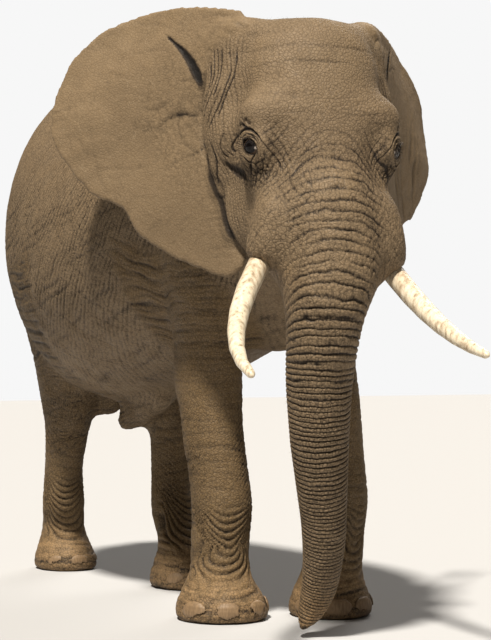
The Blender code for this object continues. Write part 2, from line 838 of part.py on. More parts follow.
def main():
    clear_scene()
    collection = new_collection("elephant")
    cutters = new_collection("cutters")
    cutters.hide_render = True
    skin = material("skin", (0.150, 0.118, 0.082), 0.85)
    ear_skin = material("ear_skin", (0.190, 0.150, 0.105), 0.85)
    ivory = material("ivory", (0.780, 0.680, 0.480), 0.40)
    horn = material("horn", (0.300, 0.240, 0.170), 0.60)
    cornea = material("cornea", (0.012, 0.008, 0.006), 0.08)
    bristle = material("bristle", (0.020, 0.016, 0.012), 0.60)

    flesh = fused_flesh(cutters)
    body_skin = grown(flesh, "body_skin", GAP, cutters)
    ears = [ear(side, body_skin, collection) for side in ("right", "left")]
    feet_nails = []
    for side in ("right", "left"):
        foot, spread = FORE_FOOT[side], FORE_SPREAD[side]
        reach = (0.200 * spread, 0.208 * spread)
        name = f"nail_fore_{side}"
        feet_nails += nails(name, foot, FORE_NAILS, reach, body_skin, collection)
        name = f"nail_hind_{side}"
        feet_nails += nails(name, HIND_FOOT[side], HIND_NAILS, (0.156, 0.188), body_skin, collection)
    tusks, eyes = [], []
    for side in ("right", "left"):
        for group, kind, shape in ((tusks, "tusk", tusk_mesh), (eyes, "eye", eye_mesh)):
            socket = helper("socket", shape(side, GAP), cutters)
            boolean(flesh, socket, "DIFFERENCE")
            bpy.data.objects.remove(socket)
            group.append(add_object(f"{kind}_{side}", shape(side), collection))
    tail_part = tail(body_skin, collection)
    tuft = tail_tuft(tail_part, cutters, collection)
    bpy.data.objects.remove(body_skin)
    flesh_parts = [tail_part]
    flesh_parts += part_legs(flesh, cutters, collection)
    flesh_parts += part_head(flesh, cutters, collection)
    flesh_parts += part_torso(flesh, cutters, collection)

    finish(flesh_parts, skin)
    finish(ears, ear_skin)
    finish(tusks, ivory)
    finish(eyes, cornea)
    finish(feet_nails, horn)
    finish([tuft], bristle)
    move_origin(flesh_parts + ears + tusks + eyes + feet_nails + [tuft])


main()
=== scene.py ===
"""A standing bull African elephant: one continuous wrinkled skin, with ivory, horn, eyes and hairs as
separate pieces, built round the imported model."""

import bmesh
import bpy
import numpy as np
from mathutils import Matrix, Vector
from mathutils.bvhtree import BVHTree


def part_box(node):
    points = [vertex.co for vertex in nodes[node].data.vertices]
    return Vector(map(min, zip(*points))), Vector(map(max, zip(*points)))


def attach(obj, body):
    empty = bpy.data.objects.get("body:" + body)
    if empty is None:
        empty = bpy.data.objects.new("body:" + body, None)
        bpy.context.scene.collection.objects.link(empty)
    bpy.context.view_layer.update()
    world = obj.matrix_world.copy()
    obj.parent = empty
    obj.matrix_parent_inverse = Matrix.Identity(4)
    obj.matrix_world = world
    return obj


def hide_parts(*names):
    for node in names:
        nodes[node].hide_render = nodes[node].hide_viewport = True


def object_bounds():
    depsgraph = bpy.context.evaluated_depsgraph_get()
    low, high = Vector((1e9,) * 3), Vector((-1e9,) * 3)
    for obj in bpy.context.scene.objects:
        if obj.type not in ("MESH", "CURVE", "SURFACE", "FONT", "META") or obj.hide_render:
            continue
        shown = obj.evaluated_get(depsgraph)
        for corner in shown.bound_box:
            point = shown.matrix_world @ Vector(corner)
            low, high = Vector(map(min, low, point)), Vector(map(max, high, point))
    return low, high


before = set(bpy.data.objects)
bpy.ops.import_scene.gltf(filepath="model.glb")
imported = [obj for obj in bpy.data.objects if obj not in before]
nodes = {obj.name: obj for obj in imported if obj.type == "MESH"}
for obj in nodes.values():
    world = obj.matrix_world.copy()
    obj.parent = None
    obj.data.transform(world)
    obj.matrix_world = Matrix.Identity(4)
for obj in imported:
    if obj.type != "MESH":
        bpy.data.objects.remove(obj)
cad_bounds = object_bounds()

EARS = ("ear_left", "ear_right")
HARD = ("eye_", "tusk_", "nail_", "tail_tuft")
FLESH = [n for n in sorted(nodes) if not n.startswith(HARD) and n not in EARS]

# Sizes in metres.
SWELL = 0.001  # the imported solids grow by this, which closes the gaps between them
BODY_VOXEL = 0.016  # first remesh of the flesh, which the smoothing then rounds
BODY_ROUNDS = 32
EAR_VOXEL = 0.006
EAR_RIM_ROUNDS = 24
EAR_ROUNDS = 700
SHEET_REACH = 0.05
IVORY_VOXEL = 0.004
NAIL_VOXEL = 0.0035
NAIL_GROWTH = (1.08, 1.45, 1.15)  # outwards, across and up
PLEAT_DEPTH = 0.020
EAR_ROOT = (0.40, 0.42, 2.30)  # across and behind the spot between the eyes, and up
EAR_THIN = 0.002  # each face of the ear's sheet moves in by this
EAR_SINK = 0.022  # how far an ear's root is drawn into the head
SCALLOP_DEPTH = 0.013
# (across, ahead, up) of the flesh that fills the root of an ear, and its half sizes.
ROOTS = (
    ((0.300, -0.40, 2.600), (0.125, 0.125, 0.145)),
    ((0.265, -0.27, 2.630), (0.120, 0.085, 0.085)),
    ((0.365, -0.40, 2.060), (0.050, 0.100, 0.180)),
    ((0.325, -0.35, 1.860), (0.045, 0.085, 0.160)),
)
ROOT_ROUNDS = 420
SKIN_VOXEL = 0.0092
SKIN_ROUNDS = 5
MASK_ROUNDS = 30
FINER_WITHIN = (0.15, 0.055)  # the skin's edges are halved this near to an eye
FINER_TRUNK_BELOW = 1.1


# ---------------------------------------------------------------- meshes


def points_of(mesh):
    flat = np.empty(3 * len(mesh.vertices), np.float32)
    mesh.vertices.foreach_get("co", flat)
    return flat.reshape(-1, 3).astype(float)


def normals_of(mesh):
    flat = np.empty(3 * len(mesh.vertices), np.float32)
    mesh.vertex_normals.foreach_get("vector", flat)
    return flat.reshape(-1, 3).astype(float)


def lengths_of(vectors):
    return np.linalg.norm(vectors, axis=1)


def move_points(mesh, points):
    mesh.vertices.foreach_set("co", np.ascontiguousarray(points, np.float32).ravel())
    mesh.update()


def helper(name, data):
    """A new object, in the scene, with this mesh, camera or light."""
    made = bpy.data.objects.new(name, data)
    bpy.context.scene.collection.objects.link(made)
    return made


def discard(obj):
    mesh = obj.data
    bpy.data.objects.remove(obj)
    bpy.data.meshes.remove(mesh)


def applied(obj):
    """The object's mesh with its modifiers applied. The object itself is discarded."""
    graph = bpy.context.evaluated_depsgraph_get()
    mesh = bpy.data.meshes.new_from_object(obj.evaluated_get(graph), depsgraph=graph)
    discard(obj)
    return mesh


def built(name, work):
    """A mesh with the faces of a bmesh, which is freed."""
    mesh = bpy.data.meshes.new(name)
    work.to_mesh(mesh)
    work.free()
    return mesh


def joined(name, meshes):
    work = bmesh.new()
    for mesh in meshes:
        work.from_mesh(mesh)
    return built(name, work)


def finished(name, mesh, look, slot, *replaced):
    """The mesh as a piece of the model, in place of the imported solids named."""
    mesh.shade_smooth()
    mesh.materials.clear()
    mesh.materials.append(look)
    made = helper(name, mesh)
    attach(made, "root")
    if replaced:
        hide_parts(*replaced)


def node_mesh(name, swell=0.0):
    """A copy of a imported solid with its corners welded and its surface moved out."""
    work = bmesh.new()
    work.from_mesh(nodes[name].data)
    bmesh.ops.remove_doubles(work, verts=work.verts, dist=1e-5)
    mesh = built(name + "_copy", work)
    if swell:
        move_points(mesh, points_of(mesh) + swell * normals_of(mesh))
    return mesh


def remeshed(mesh, voxel):
    obj = helper("remesh", mesh)
    step = obj.modifiers.new("voxels", "REMESH")
    step.mode = "VOXEL"
    step.voxel_size = voxel
    return applied(obj)


def smoothed(mesh, rounds):
    """The mesh's points, each drawn to the mean of its neighbours so many times."""
    obj = helper("smooth", mesh.copy())
    step = obj.modifiers.new("smooth", "SMOOTH")
    step.factor = 1.0
    step.iterations = rounds
    mesh = applied(obj)
    points = points_of(mesh)
    bpy.data.meshes.remove(mesh)
    return points


def spread(mesh, values, rounds):
    """One value or three for each vertex, averaged over its neighbours so many times."""
    values = np.asarray(values, float)
    held = np.zeros((len(mesh.vertices), 3))
    columns = values.reshape(len(values), -1)
    held[:, : columns.shape[1]] = columns
    carrier = mesh.copy()
    move_points(carrier, held)
    found = smoothed(carrier, rounds)
    bpy.data.meshes.remove(carrier)
    return found[:, : columns.shape[1]].reshape(values.shape)


def relax(mesh, rounds):
    """Rounds the facets off without shrinking the form: what one pass removes, a second puts back."""
    points = points_of(mesh)
    once = smoothed(mesh, rounds)
    move_points(mesh, once + spread(mesh, points - once, rounds))


# ---------------------------------------------------------------- fields


def field(points, kind, **settings):
    """The value of one of Blender's textures at each point, read through geometry nodes."""
    mesh = bpy.data.meshes.new("samples")
    mesh.vertices.add(len(points))
    mesh.vertices.foreach_set("co", np.ascontiguousarray(points, np.float32).ravel())
    obj = helper("samples", mesh)
    tree = bpy.data.node_groups.new("sample", "GeometryNodeTree")
    tree.interface.new_socket("Geometry", in_out="INPUT", socket_type="NodeSocketGeometry")
    tree.interface.new_socket("Geometry", in_out="OUTPUT", socket_type="NodeSocketGeometry")
    source = tree.nodes.new("NodeGroupInput")
    result = tree.nodes.new("NodeGroupOutput")
    place = tree.nodes.new("GeometryNodeInputPosition")
    store = tree.nodes.new("GeometryNodeStoreNamedAttribute")
    store.data_type = "FLOAT"
    store.domain = "POINT"
    store.inputs["Name"].default_value = "value"
    if kind == "noise":
        texture = tree.nodes.new("ShaderNodeTexNoise")
        texture.normalize = True
        out = texture.outputs[0]
    else:
        texture = tree.nodes.new("ShaderNodeTexVoronoi")
        texture.feature = kind
        out = texture.outputs["Distance"]
    texture.inputs["Scale"].default_value = 1.0
    for name, value in settings.items():
        texture.inputs[name.capitalize()].default_value = value
    tree.links.new(place.outputs[0], texture.inputs["Vector"])
    tree.links.new(source.outputs[0], store.inputs["Geometry"])
    tree.links.new(out, store.inputs["Value"])
    tree.links.new(store.outputs[0], result.inputs[0])
    step = obj.modifiers.new("sample", "NODES")
    step.node_group = tree
    mesh = applied(obj)
    values = np.empty(len(points), np.float32)
    mesh.attributes["value"].data.foreach_get("value", values)
    bpy.data.meshes.remove(mesh)
    bpy.data.node_groups.remove(tree)
    return values.astype(float)


def noise(points, size, seed=0.0, detail=2.0):
    """Soft noise from about -1 to 1 whose features are of this size, along each axis."""
    shifted = np.asarray(points) / size + np.array((seed, 1.7 * seed, -0.6 * seed))
    return (field(shifted, "noise", detail=detail) - 0.5) * 3.2


# The cells that crackle each part: their size, their seed and the width of their edges.
CELLS = {
    "trunk": (1.0, 4.0, 0.16),
    "leg": (1.0, 9.0, 0.16),
    "flank": (0.019, 60.0, 0.15),
    "head fine": (0.015, 70.0, 0.15),
    "head coarse": (0.032, 72.0, 0.14),
    "ear fine": (0.013, 80.0, 0.16),
    "ear coarse": (0.030, 77.0, 0.16),
    "ear veins": (0.16, 87.0, 0.045),
    "under the eye": (0.020, 91.0, 0.24),
}

# The sets of lines: how far apart, their seed, how sharp, how bent and how broken they are.
LINES = {
    "face leaning": (0.030, 6.0, 2.6, 0.45, 0.5),
    "face crossing": (0.034, 7.0, 2.6, 0.45, 0.55),
    "leg large": (0.062, 21.0, 3.2, 0.45, 0.62),
    "leg small": (0.026, 23.0, 2.6, 0.5, 0.5),
    "leg slanting": (0.025, 25.0, 2.8, 0.4, 0.35),
    "wrist bands": (0.038, 27.0, 2.2, 0.30, 0.25),
    "flank main": (0.027, 41.0, 2.2, 0.75, 0.42),
    "flank crossing": (0.044, 43.0, 2.6, 0.9, 0.80),
    "flank level": (0.052, 45.0, 3.0, 0.7, 0.8),
    "temple": (0.019, 73.0, 2.6, 0.5, 0.55),
    "brow": (0.075, 75.0, 4.0, 0.35, 0.85),
    "ear rays": (0.050, 84.0, 4.0, 0.7, 0.95),
    "ear rings": (0.060, 85.0, 4.0, 0.8, 1.05),
    "ear pleats": (0.062, 90.0, 1.7, 0.9, 0.80),
    "lid corner": (0.010, 93.0, 2.4, 0.4, 0.2),
    "lid fan": (0.011, 94.0, 2.4, 0.5, 0.4),
}


def cracks(points, kind):
    """1 along the edges of a named kind of cells, falling to 0 inside them."""
    size, seed, width = CELLS[kind]
    shifted = np.asarray(points) / size + np.array((seed, 1.7 * seed, -0.6 * seed))
    away = field(shifted, "DISTANCE_TO_EDGE")
    return np.clip(1 - away / width, 0, 1) ** 1.5


def ramp(values, low, high):
    share = np.clip((values - low) / (high - low), 0, 1)
    return share * share * (3 - 2 * share)


def valleys(phase, sharp=3.0):
    """1 along narrow valleys where the phase is a whole number, and 0 on the rounded ridges between."""
    away = np.abs(phase - np.round(phase)) * 2
    return (1 - away) ** sharp


def folds(points, coordinate, kind):
    """A named set of lines across a coordinate in metres, bent and broken by noise."""
    spacing, seed, sharp, bend, broken = LINES[kind]
    phase = coordinate / spacing + bend * noise(points, 7 * spacing, seed)
    line = np.round(phase)
    seat = points / (6 * spacing) + np.outer(line * 3.71, (0.3, 1.0, 0.7))
    gain = np.clip(1 - broken + broken * 1.1 * noise(seat, 1.0, seed + 0.5), 0, 1.3)
    return valleys(phase, sharp) * gain


# ---------------------------------------------------------------- the smooth body


def solids_tree(names):
    """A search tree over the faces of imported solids, and the solid that each face belongs to."""
    corners, faces, owners = [], [], []
    for name in names:
        mesh = nodes[name].data
        mesh.calc_loop_triangles()
        base = len(corners)
        corners.extend(tuple(v.co) for v in mesh.vertices)
        faces.extend(tuple(base + i for i in t.vertices) for t in mesh.loop_triangles)
        owners.extend([name] * len(mesh.loop_triangles))
    return BVHTree.FromPolygons(corners, faces, all_triangles=True), owners


def ear_root(side, place, size):
    """Flesh between the head and the root of an ear."""
    work = bmesh.new()
    bmesh.ops.create_icosphere(work, subdivisions=4, radius=1.0)
    mesh = built("ear_root", work)
    along, ahead, up = points_of(mesh).T[:, :, None] * np.array(size)[:, None, None]
    centre = in_head(side * place[0], place[1], place[2])
    move_points(mesh, centre + along * ACROSS + ahead * FORWARD + up * UP)
    return mesh


def blend_roots(mesh):
    """Runs each ear's upper root smoothly into the temple."""
    points = points_of(mesh)
    aside, ahead = place_of(points)
    aside = np.abs(aside)
    near = ramp(aside, 0.22, 0.32) * ramp(aside, 0.58, 0.44) * ramp(ahead, -0.75, -0.60)
    near *= ramp(points[:, 2], 2.36, 2.50) * ramp(points[:, 2], 2.74, 2.64)
    softened = smoothed(mesh, ROOT_ROUNDS)
    move_points(mesh, points + near[:, None] * (softened - points))


def smooth_flesh():
    eyes = [n for n in sorted(nodes) if n.startswith("eye_")]
    roots = [ear_root(side, place, size) for side in (-1, 1) for place, size in ROOTS]
    mesh = joined("flesh", [*[node_mesh(n, SWELL) for n in FLESH + eyes], *roots])
    mesh = remeshed(mesh, BODY_VOXEL)
    relax(mesh, BODY_ROUNDS)
    return mesh


def both_faces(mesh, values):
    """The mean of a sheet's values on its two faces, so that it keeps its thickness."""
    points, normals = points_of(mesh), normals_of(mesh)
    faces = [tuple(face.vertices) for face in mesh.polygons]
    tree = BVHTree.FromPolygons(points.tolist(), faces)
    starts = points - 0.002 * normals
    other = values.copy()
    for i, (start, way) in enumerate(zip(starts.tolist(), (-normals).tolist())):
        hit = tree.ray_cast(start, way, SHEET_REACH)[2]
        if hit is not None:
            other[i] = values[faces[hit][0]]
    return spread(mesh, (values + other) / 2, 6)


def place_of(points):
    """Each point's place across and ahead of the spot between the eyes."""
    return (points - BETWEEN_EYES) @ ACROSS, (points - BETWEEN_EYES) @ FORWARD


def ear_polar(points):
    """Each point's distance from the ear's root, and its angle about it."""
    aside, ahead = place_of(points)
    side, behind, rise = np.abs(aside) - EAR_ROOT[0], -ahead - EAR_ROOT[1], points[:, 2] - EAR_ROOT[2]
    level = np.maximum(side, 0) + np.maximum(behind, 0)
    return np.hypot(np.hypot(side, behind), rise), np.arctan2(rise, level)


def ear_ripple(points):
    """How far the ear's sheet waves out of its plane: flutes towards the rim, soft swells between."""
    out, angle = ear_polar(points)
    flutes = noise(np.column_stack([angle / 0.17, out / 0.9, np.sign(points @ ACROSS)]), 1.0, 88.0)
    swells = noise(points, 0.22, 89.0)
    lower = ramp(angle, 0.3, -0.5)
    return flutes * ramp(out, 0.35, 0.75) * (0.006 + 0.011 * lower) + 0.006 * swells


def ear_pleats(points):
    """Upright pleats in the lower half of the left ear, between its root and its rim."""
    aside, ahead = place_of(points)
    side, behind = np.maximum(aside - EAR_ROOT[0], 0), np.maximum(-ahead - EAR_ROOT[1], 0)
    spread_out = np.hypot(side, behind)
    zone = ramp(aside, 0.3, 0.5) * ramp(points[:, 2], 1.70, 1.90) * ramp(points[:, 2], 2.40, 2.15)
    bent = spread_out + 0.10 * points[:, 2] + 0.030 * noise(points, 0.16, 91.0)
    pleats = folds(points, bent, "ear pleats")
    return pleats * zone * ramp(spread_out, 0.76, 0.60)


def smooth_ear(name, flesh):
    """The ear's sheet, its facets levelled across it, its rim kept and its root in the head."""
    mesh = remeshed(node_mesh(name, SWELL), EAR_VOXEL)
    relax(mesh, EAR_RIM_ROUNDS)
    points = points_of(mesh)
    centred = points - points.mean(axis=0)
    across = np.linalg.eigh(centred.T @ centred)[1][:, 0]
    nearest = [flesh.find_nearest(p) for p in points.tolist()]
    away = np.array([hit[3] for hit in nearest])
    outward = np.array([tuple(hit[1]) for hit in nearest])
    once = smoothed(mesh, EAR_ROUNDS)
    shift = both_faces(mesh, (once - points) @ across) * ramp(away, 0.01, 0.12)
    sink = EAR_SINK * (1 - ramp(away, 0.0, 0.035))
    thin = EAR_THIN * ramp(away, 0.03, 0.2)
    shift = shift + ear_ripple(points) * ramp(away, 0.10, 0.40)
    shift = shift - PLEAT_DEPTH * np.sign(across @ FORWARD) * ear_pleats(points)
    out, angle = ear_polar(points)
    round_rim = np.column_stack([angle / 0.11, angle * 0, np.sign(points @ ACROSS)])
    scallops = noise(round_rim, 1.0, 92.0)
    radial = centred - np.outer(centred @ across, across)
    radial = radial / lengths_of(radial)[:, None]
    stretch = SCALLOP_DEPTH * scallops * ramp(out, 0.40, 0.75) * ramp(angle, 0.9, 0.2)
    points = points + stretch[:, None] * radial
    points = points + np.outer(shift, across) - sink[:, None] * outward
    move_points(mesh, points)
    move_points(mesh, points - thin[:, None] * normals_of(mesh))
    return mesh


def smooth_skin():
    flesh = solids_tree(FLESH)[0]
    ears = [smooth_ear(name, flesh) for name in EARS]
    mesh = remeshed(joined("skin", [smooth_flesh(), *ears]), SKIN_VOXEL)
    relax(mesh, SKIN_ROUNDS)
    blend_roots(mesh)
    return mesh


# ---------------------------------------------------------------- parts and masks


GROUPS = {
    "head": ("head", "jaw", "eye_"),
    "trunk": ("trunk_", "tusk_"),
    "ear": ("ear_",),
    "foreleg": ("foreleg_", "nail_fore"),
    "hindleg": ("hindleg_", "nail_hind"),
    "tail": ("tail",),
}


def write_mask(mesh, name, values):
    held = mesh.attributes.get(name) or mesh.attributes.new(name, "FLOAT", "POINT")
    held.data.foreach_set("value", np.ascontiguousarray(values, np.float32))


def read_mask(mesh, name):
    values = np.empty(len(mesh.vertices), np.float32)
    mesh.attributes[name].data.foreach_get("value", values)
    return values.astype(float)


def label_parts(mesh):
    """Soft masks that say which part of the animal each vertex belongs to."""
    tree, owners = solids_tree(sorted(nodes))
    hits = [tree.find_nearest(p)[2] for p in points_of(mesh).tolist()]
    names = np.array(owners)[hits]
    for group, prefixes in GROUPS.items():
        inside = np.zeros(len(names))
        for prefix in prefixes:
            inside[np.char.startswith(names, prefix)] = 1.0
        write_mask(mesh, group, spread(mesh, inside, MASK_ROUNDS))


def refine(mesh, chosen):
    """Halves every edge between two chosen vertices."""
    work = bmesh.new()
    work.from_mesh(mesh)
    work.verts.ensure_lookup_table()
    edges = [e for e in work.edges if chosen[e.verts[0].index] and chosen[e.verts[1].index]]
    bmesh.ops.subdivide_edges(work, edges=edges, cuts=1, use_grid_fill=True)
    work.to_mesh(mesh)
    work.free()
    mesh.update()


# ---------------------------------------------------------------- the head's own axes


def middle(name):
    low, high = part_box(name)
    return np.array((low + high) / 2)


EYE = {side: middle("eye_" + side) for side in ("right", "left")}
ACROSS = (EYE["left"] - EYE["right"]) / np.linalg.norm(EYE["left"] - EYE["right"])
UP = np.array((0.0, 0.0, 1.0))
FORWARD = np.cross(ACROSS, UP)
BETWEEN_EYES = (EYE["left"] + EYE["right"]) / 2
EYE_RADIUS = float(np.diff(np.array([tuple(c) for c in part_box("eye_right")])[:, 2])[0]) / 2
EYE_TURN = np.radians(48)  # how far each eye looks out from straight ahead
BALL_RADIUS = 1.34 * EYE_RADIUS
BALL_DEPTH = 0.55 * EYE_RADIUS  # the ball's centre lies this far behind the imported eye's
LID_WIDTH = 0.041  # half of the eye's opening
LID_UPPER = 0.030
LID_LOWER = 0.029
LID_LEAN = np.radians(48)  # the inner corner hangs lower than the outer
LID_THICK = 0.0045
LID_FOLDS = ((0.30, 0.07, 0.0024), (0.62, 0.08, 0.0030), (1.00, 0.09, 0.0028))
LID_LEVEL = 0.036  # how far the skin round the lids stands before the ball's centre
BALL_PIT = 0.006
CARUNCLE_GLINT = (0.028, -0.008)  # the pale inner corner of the eye, partly the caruncle's colour and partly a painted highlight, towards the inner corner and up
CARUNCLE_GLINT_RADIUS = 0.009


def in_head(across, ahead, up):
    place = BETWEEN_EYES + across * ACROSS + ahead * FORWARD
    return (place[0], place[1], up)


CREASE_PROFILE = 3.0  # the higher, the squarer a crease's sides
CREASE_REACH = 0.7  # a crease touches no skin further than this from its middle

# (points as across, ahead, up), the width all along or at each point, the depth and the painted shade
# laid along the crease.
# Most of these points, and the fan's below, were read off the photograph and carried onto the solids by a
# scratch script. They should follow from the frame and don't: see "Known faults" in report.md.
HEAD_CREASES = (
    (
        ((0.555, -0.608, 2.683), (0.525, -0.555, 2.634), (0.488, -0.500, 2.578),
         (0.460, -0.468, 2.520), (0.436, -0.440, 2.466), (0.430, -0.436, 2.415)),
        (0.003, 0.006, 0.013, 0.020, 0.024, 0.010), 0.011, 2.6,
    ),
    (
        ((0.425, -0.42, 2.40), (0.43, -0.41, 2.32), (0.43, -0.43, 2.235), (0.42, -0.42, 2.145)),
        0.009, 0.007, 1.2,
    ),
    (
        ((0.283, 0.05, 2.15), (0.265, 0.09, 2.05), (0.245, 0.125, 1.95), (0.20, 0.18, 1.86)),
        0.006, 0.004, 0.35,
    ),
    (
        ((0.262, 0.08, 2.17), (0.235, 0.12, 2.07), (0.215, 0.15, 1.98), (0.17, 0.20, 1.90)),
        0.005, 0.003, 0.30,
    ),
    (
        ((0.40, -0.39, 2.05), (0.364, -0.34, 1.92), (0.335, -0.315, 1.82), (0.307, -0.285, 1.74)),
        0.016, 0.012, 1.4,
    ),
    (
        ((0.422, -0.329, 2.180), (0.408, -0.311, 2.135), (0.395, -0.301, 2.091),
         (0.373, -0.330, 2.040), (0.358, -0.346, 1.984)),
        (0.003, 0.005, 0.006, 0.006, 0.004), 0.006, 1.2,
    ),
    (
        ((0.416, -0.418, 2.122), (0.402, -0.398, 2.083), (0.387, -0.380, 2.045),
         (0.361, -0.349, 1.966)),
        0.0045, 0.005, 0.9,
    ),
    (
        ((0.379, -0.223, 2.200), (0.391, -0.243, 2.170), (0.389, -0.259, 2.137),
         (0.370, -0.254, 2.104), (0.349, -0.232, 2.088)),
        0.004, 0.005, 0.7,
    ),
    (
        ((0.331, -0.142, 2.192), (0.338, -0.189, 2.165), (0.350, -0.212, 2.136),
         (0.343, -0.210, 2.118), (0.326, -0.191, 2.116)),
        0.004, 0.006, 1.1,
    ),
    (((0.367, -0.234, 2.123), (0.354, -0.225, 2.108), (0.336, -0.209, 2.096)), 0.0034, 0.004, 0.6),
    (
        ((0.372, -0.273, 2.085), (0.344, -0.253, 2.051), (0.329, -0.193, 2.020),
         (0.328, -0.098, 1.995), (0.318, -0.089, 1.970)),
        (0.006, 0.017, 0.024, 0.020, 0.006), 0.011, 1.15,
    ),
    (
        ((0.326, -0.037, 2.220), (0.316, -0.022, 2.197), (0.306, 0.012, 2.172),
         (0.296, 0.039, 2.148)),
        (0.004, 0.008, 0.008, 0.005), 0.008, 1.2,
    ),
    (((0.340, -0.096, 2.242), (0.335, -0.070, 2.217), (0.328, -0.044, 2.200)), 0.004, 0.005, 0.8),
)

# The hindmost and the foremost crease of the temple's fan, as across, ahead, up.
FAN_BEHIND = ((0.433, -0.400, 2.270), (0.432, -0.386, 2.324), (0.429, -0.343, 2.374),
              (0.418, -0.325, 2.440), (0.400, -0.340, 2.520), (0.370, -0.370, 2.600))
FAN_AHEAD = ((0.425, -0.310, 2.215), (0.414, -0.270, 2.270), (0.400, -0.240, 2.330),
             (0.382, -0.218, 2.390), (0.350, -0.210, 2.470), (0.318, -0.245, 2.555))
FAN_CREASES = 7
FAN_DEPTH = 0.0070
FAN_SPANS = ((0, 5), (1, 6), (0, 6), (2, 6), (0, 4))  # which of its points each crease runs through

# (across, ahead, up, radius, push) of the soft forms that stand out of the head or sink into it.
HEAD_FORMS = (
    (0.300, -0.030, 2.250, 0.080, 0.034),
    (0.200, 0.060, 2.270, 0.085, 0.014),
    (0.265, 0.120, 1.985, 0.095, -0.036),
    (0.385, -0.200, 2.330, 0.110, -0.026),
    (0.250, -0.110, 2.480, 0.085, 0.016),
    (0.215, -0.190, 2.640, 0.085, 0.014),
    (0.280, 0.110, 1.700, 0.090, 0.012),
    (0.165, 0.300, 1.540, 0.110, 0.024),
    (0.360, -0.140, 1.980, 0.070, -0.016),
    (0.470, -0.430, 2.500, 0.040, 0.016),
)

# (behind the leg's middle, up, radius, push) of the muscle at the back of each elbow.
ELBOW_FORMS = ((0.12, 1.10, 0.15, 0.034), (0.09, 0.86, 0.13, 0.018))


def trunk_line():
    """The trunk's centreline from its tip up, carried on straight up inside the head."""
    corners = np.concatenate(
        [points_of(nodes[n].data) for n in sorted(nodes) if n.startswith("trunk_")]
    )
    line = []
    for height in np.arange(0.06, 1.44, 0.06):
        band = corners[np.abs(corners[:, 2] - height) < 0.07]
        low, high = band.min(axis=0), band.max(axis=0)
        line.append((*((low + high) / 2)[:2], height))
    top = BETWEEN_EYES + 0.02 * FORWARD
    line += [(top[0], top[1], height) for height in np.arange(1.68, 3.0, 0.06)]
    line = np.array(line)
    for _ in range(12):
        line[1:-1] = (line[:-2] + 2 * line[1:-1] + line[2:]) / 4
    return line


def densified(line, step):
    """The line with more points set between its own, one at each such share of a step."""
    shares = np.arange(0, len(line) - 0.9, step)
    return np.column_stack([np.interp(shares, range(len(line)), axis) for axis in line.T])


def rounded(line, rounds):
    """The line with its corners rounded so many times and its ends kept."""
    for _ in range(rounds):
        line[1:-1] = (line[:-2] + line[1:-1] + line[2:]) / 3
    return line


def line_length(line):
    return lengths_of(np.diff(line, axis=0)).sum()


def along_line(points, line):
    """Each point's length along a line and its place beside it."""
    steps = np.diff(line, axis=0)
    lengths = lengths_of(steps)
    starts = np.concatenate([[0.0], np.cumsum(lengths)[:-1]])
    best = np.full(len(points), np.inf)
    length = np.zeros(len(points))
    beside = np.zeros((len(points), 3))
    for start, step, size, before in zip(line[:-1], steps, lengths, starts):
        share = np.clip((points - start) @ step / size**2, 0, 1)
        offset = points - start - share[:, None] * step
        away = lengths_of(offset)
        nearer = away < best
        best[nearer] = away[nearer]
        length[nearer] = (before + share * size)[nearer]
        beside[nearer] = offset[nearer]
    return length, beside


# ---------------------------------------------------------------- wrinkles


# How far apart the trunk's rings lie at these lengths from its tip.
RING_AT = (0.0, 0.5, 0.75, 1.15, 1.35, 1.6, 2.2)
RING_SPACING = (0.015, 0.018, 0.021, 0.024, 0.036, 0.046, 0.050)
RING_TABLE_END, RING_TABLE_STEP = 3.6, 0.01
# How deep they are at these heights, as a share of their spacing.
RING_HEIGHTS = (0.2, 1.0, 1.4, 1.6, 2.0)
RING_DEPTHS = (0.32, 0.40, 0.36, 0.25, 0.11)


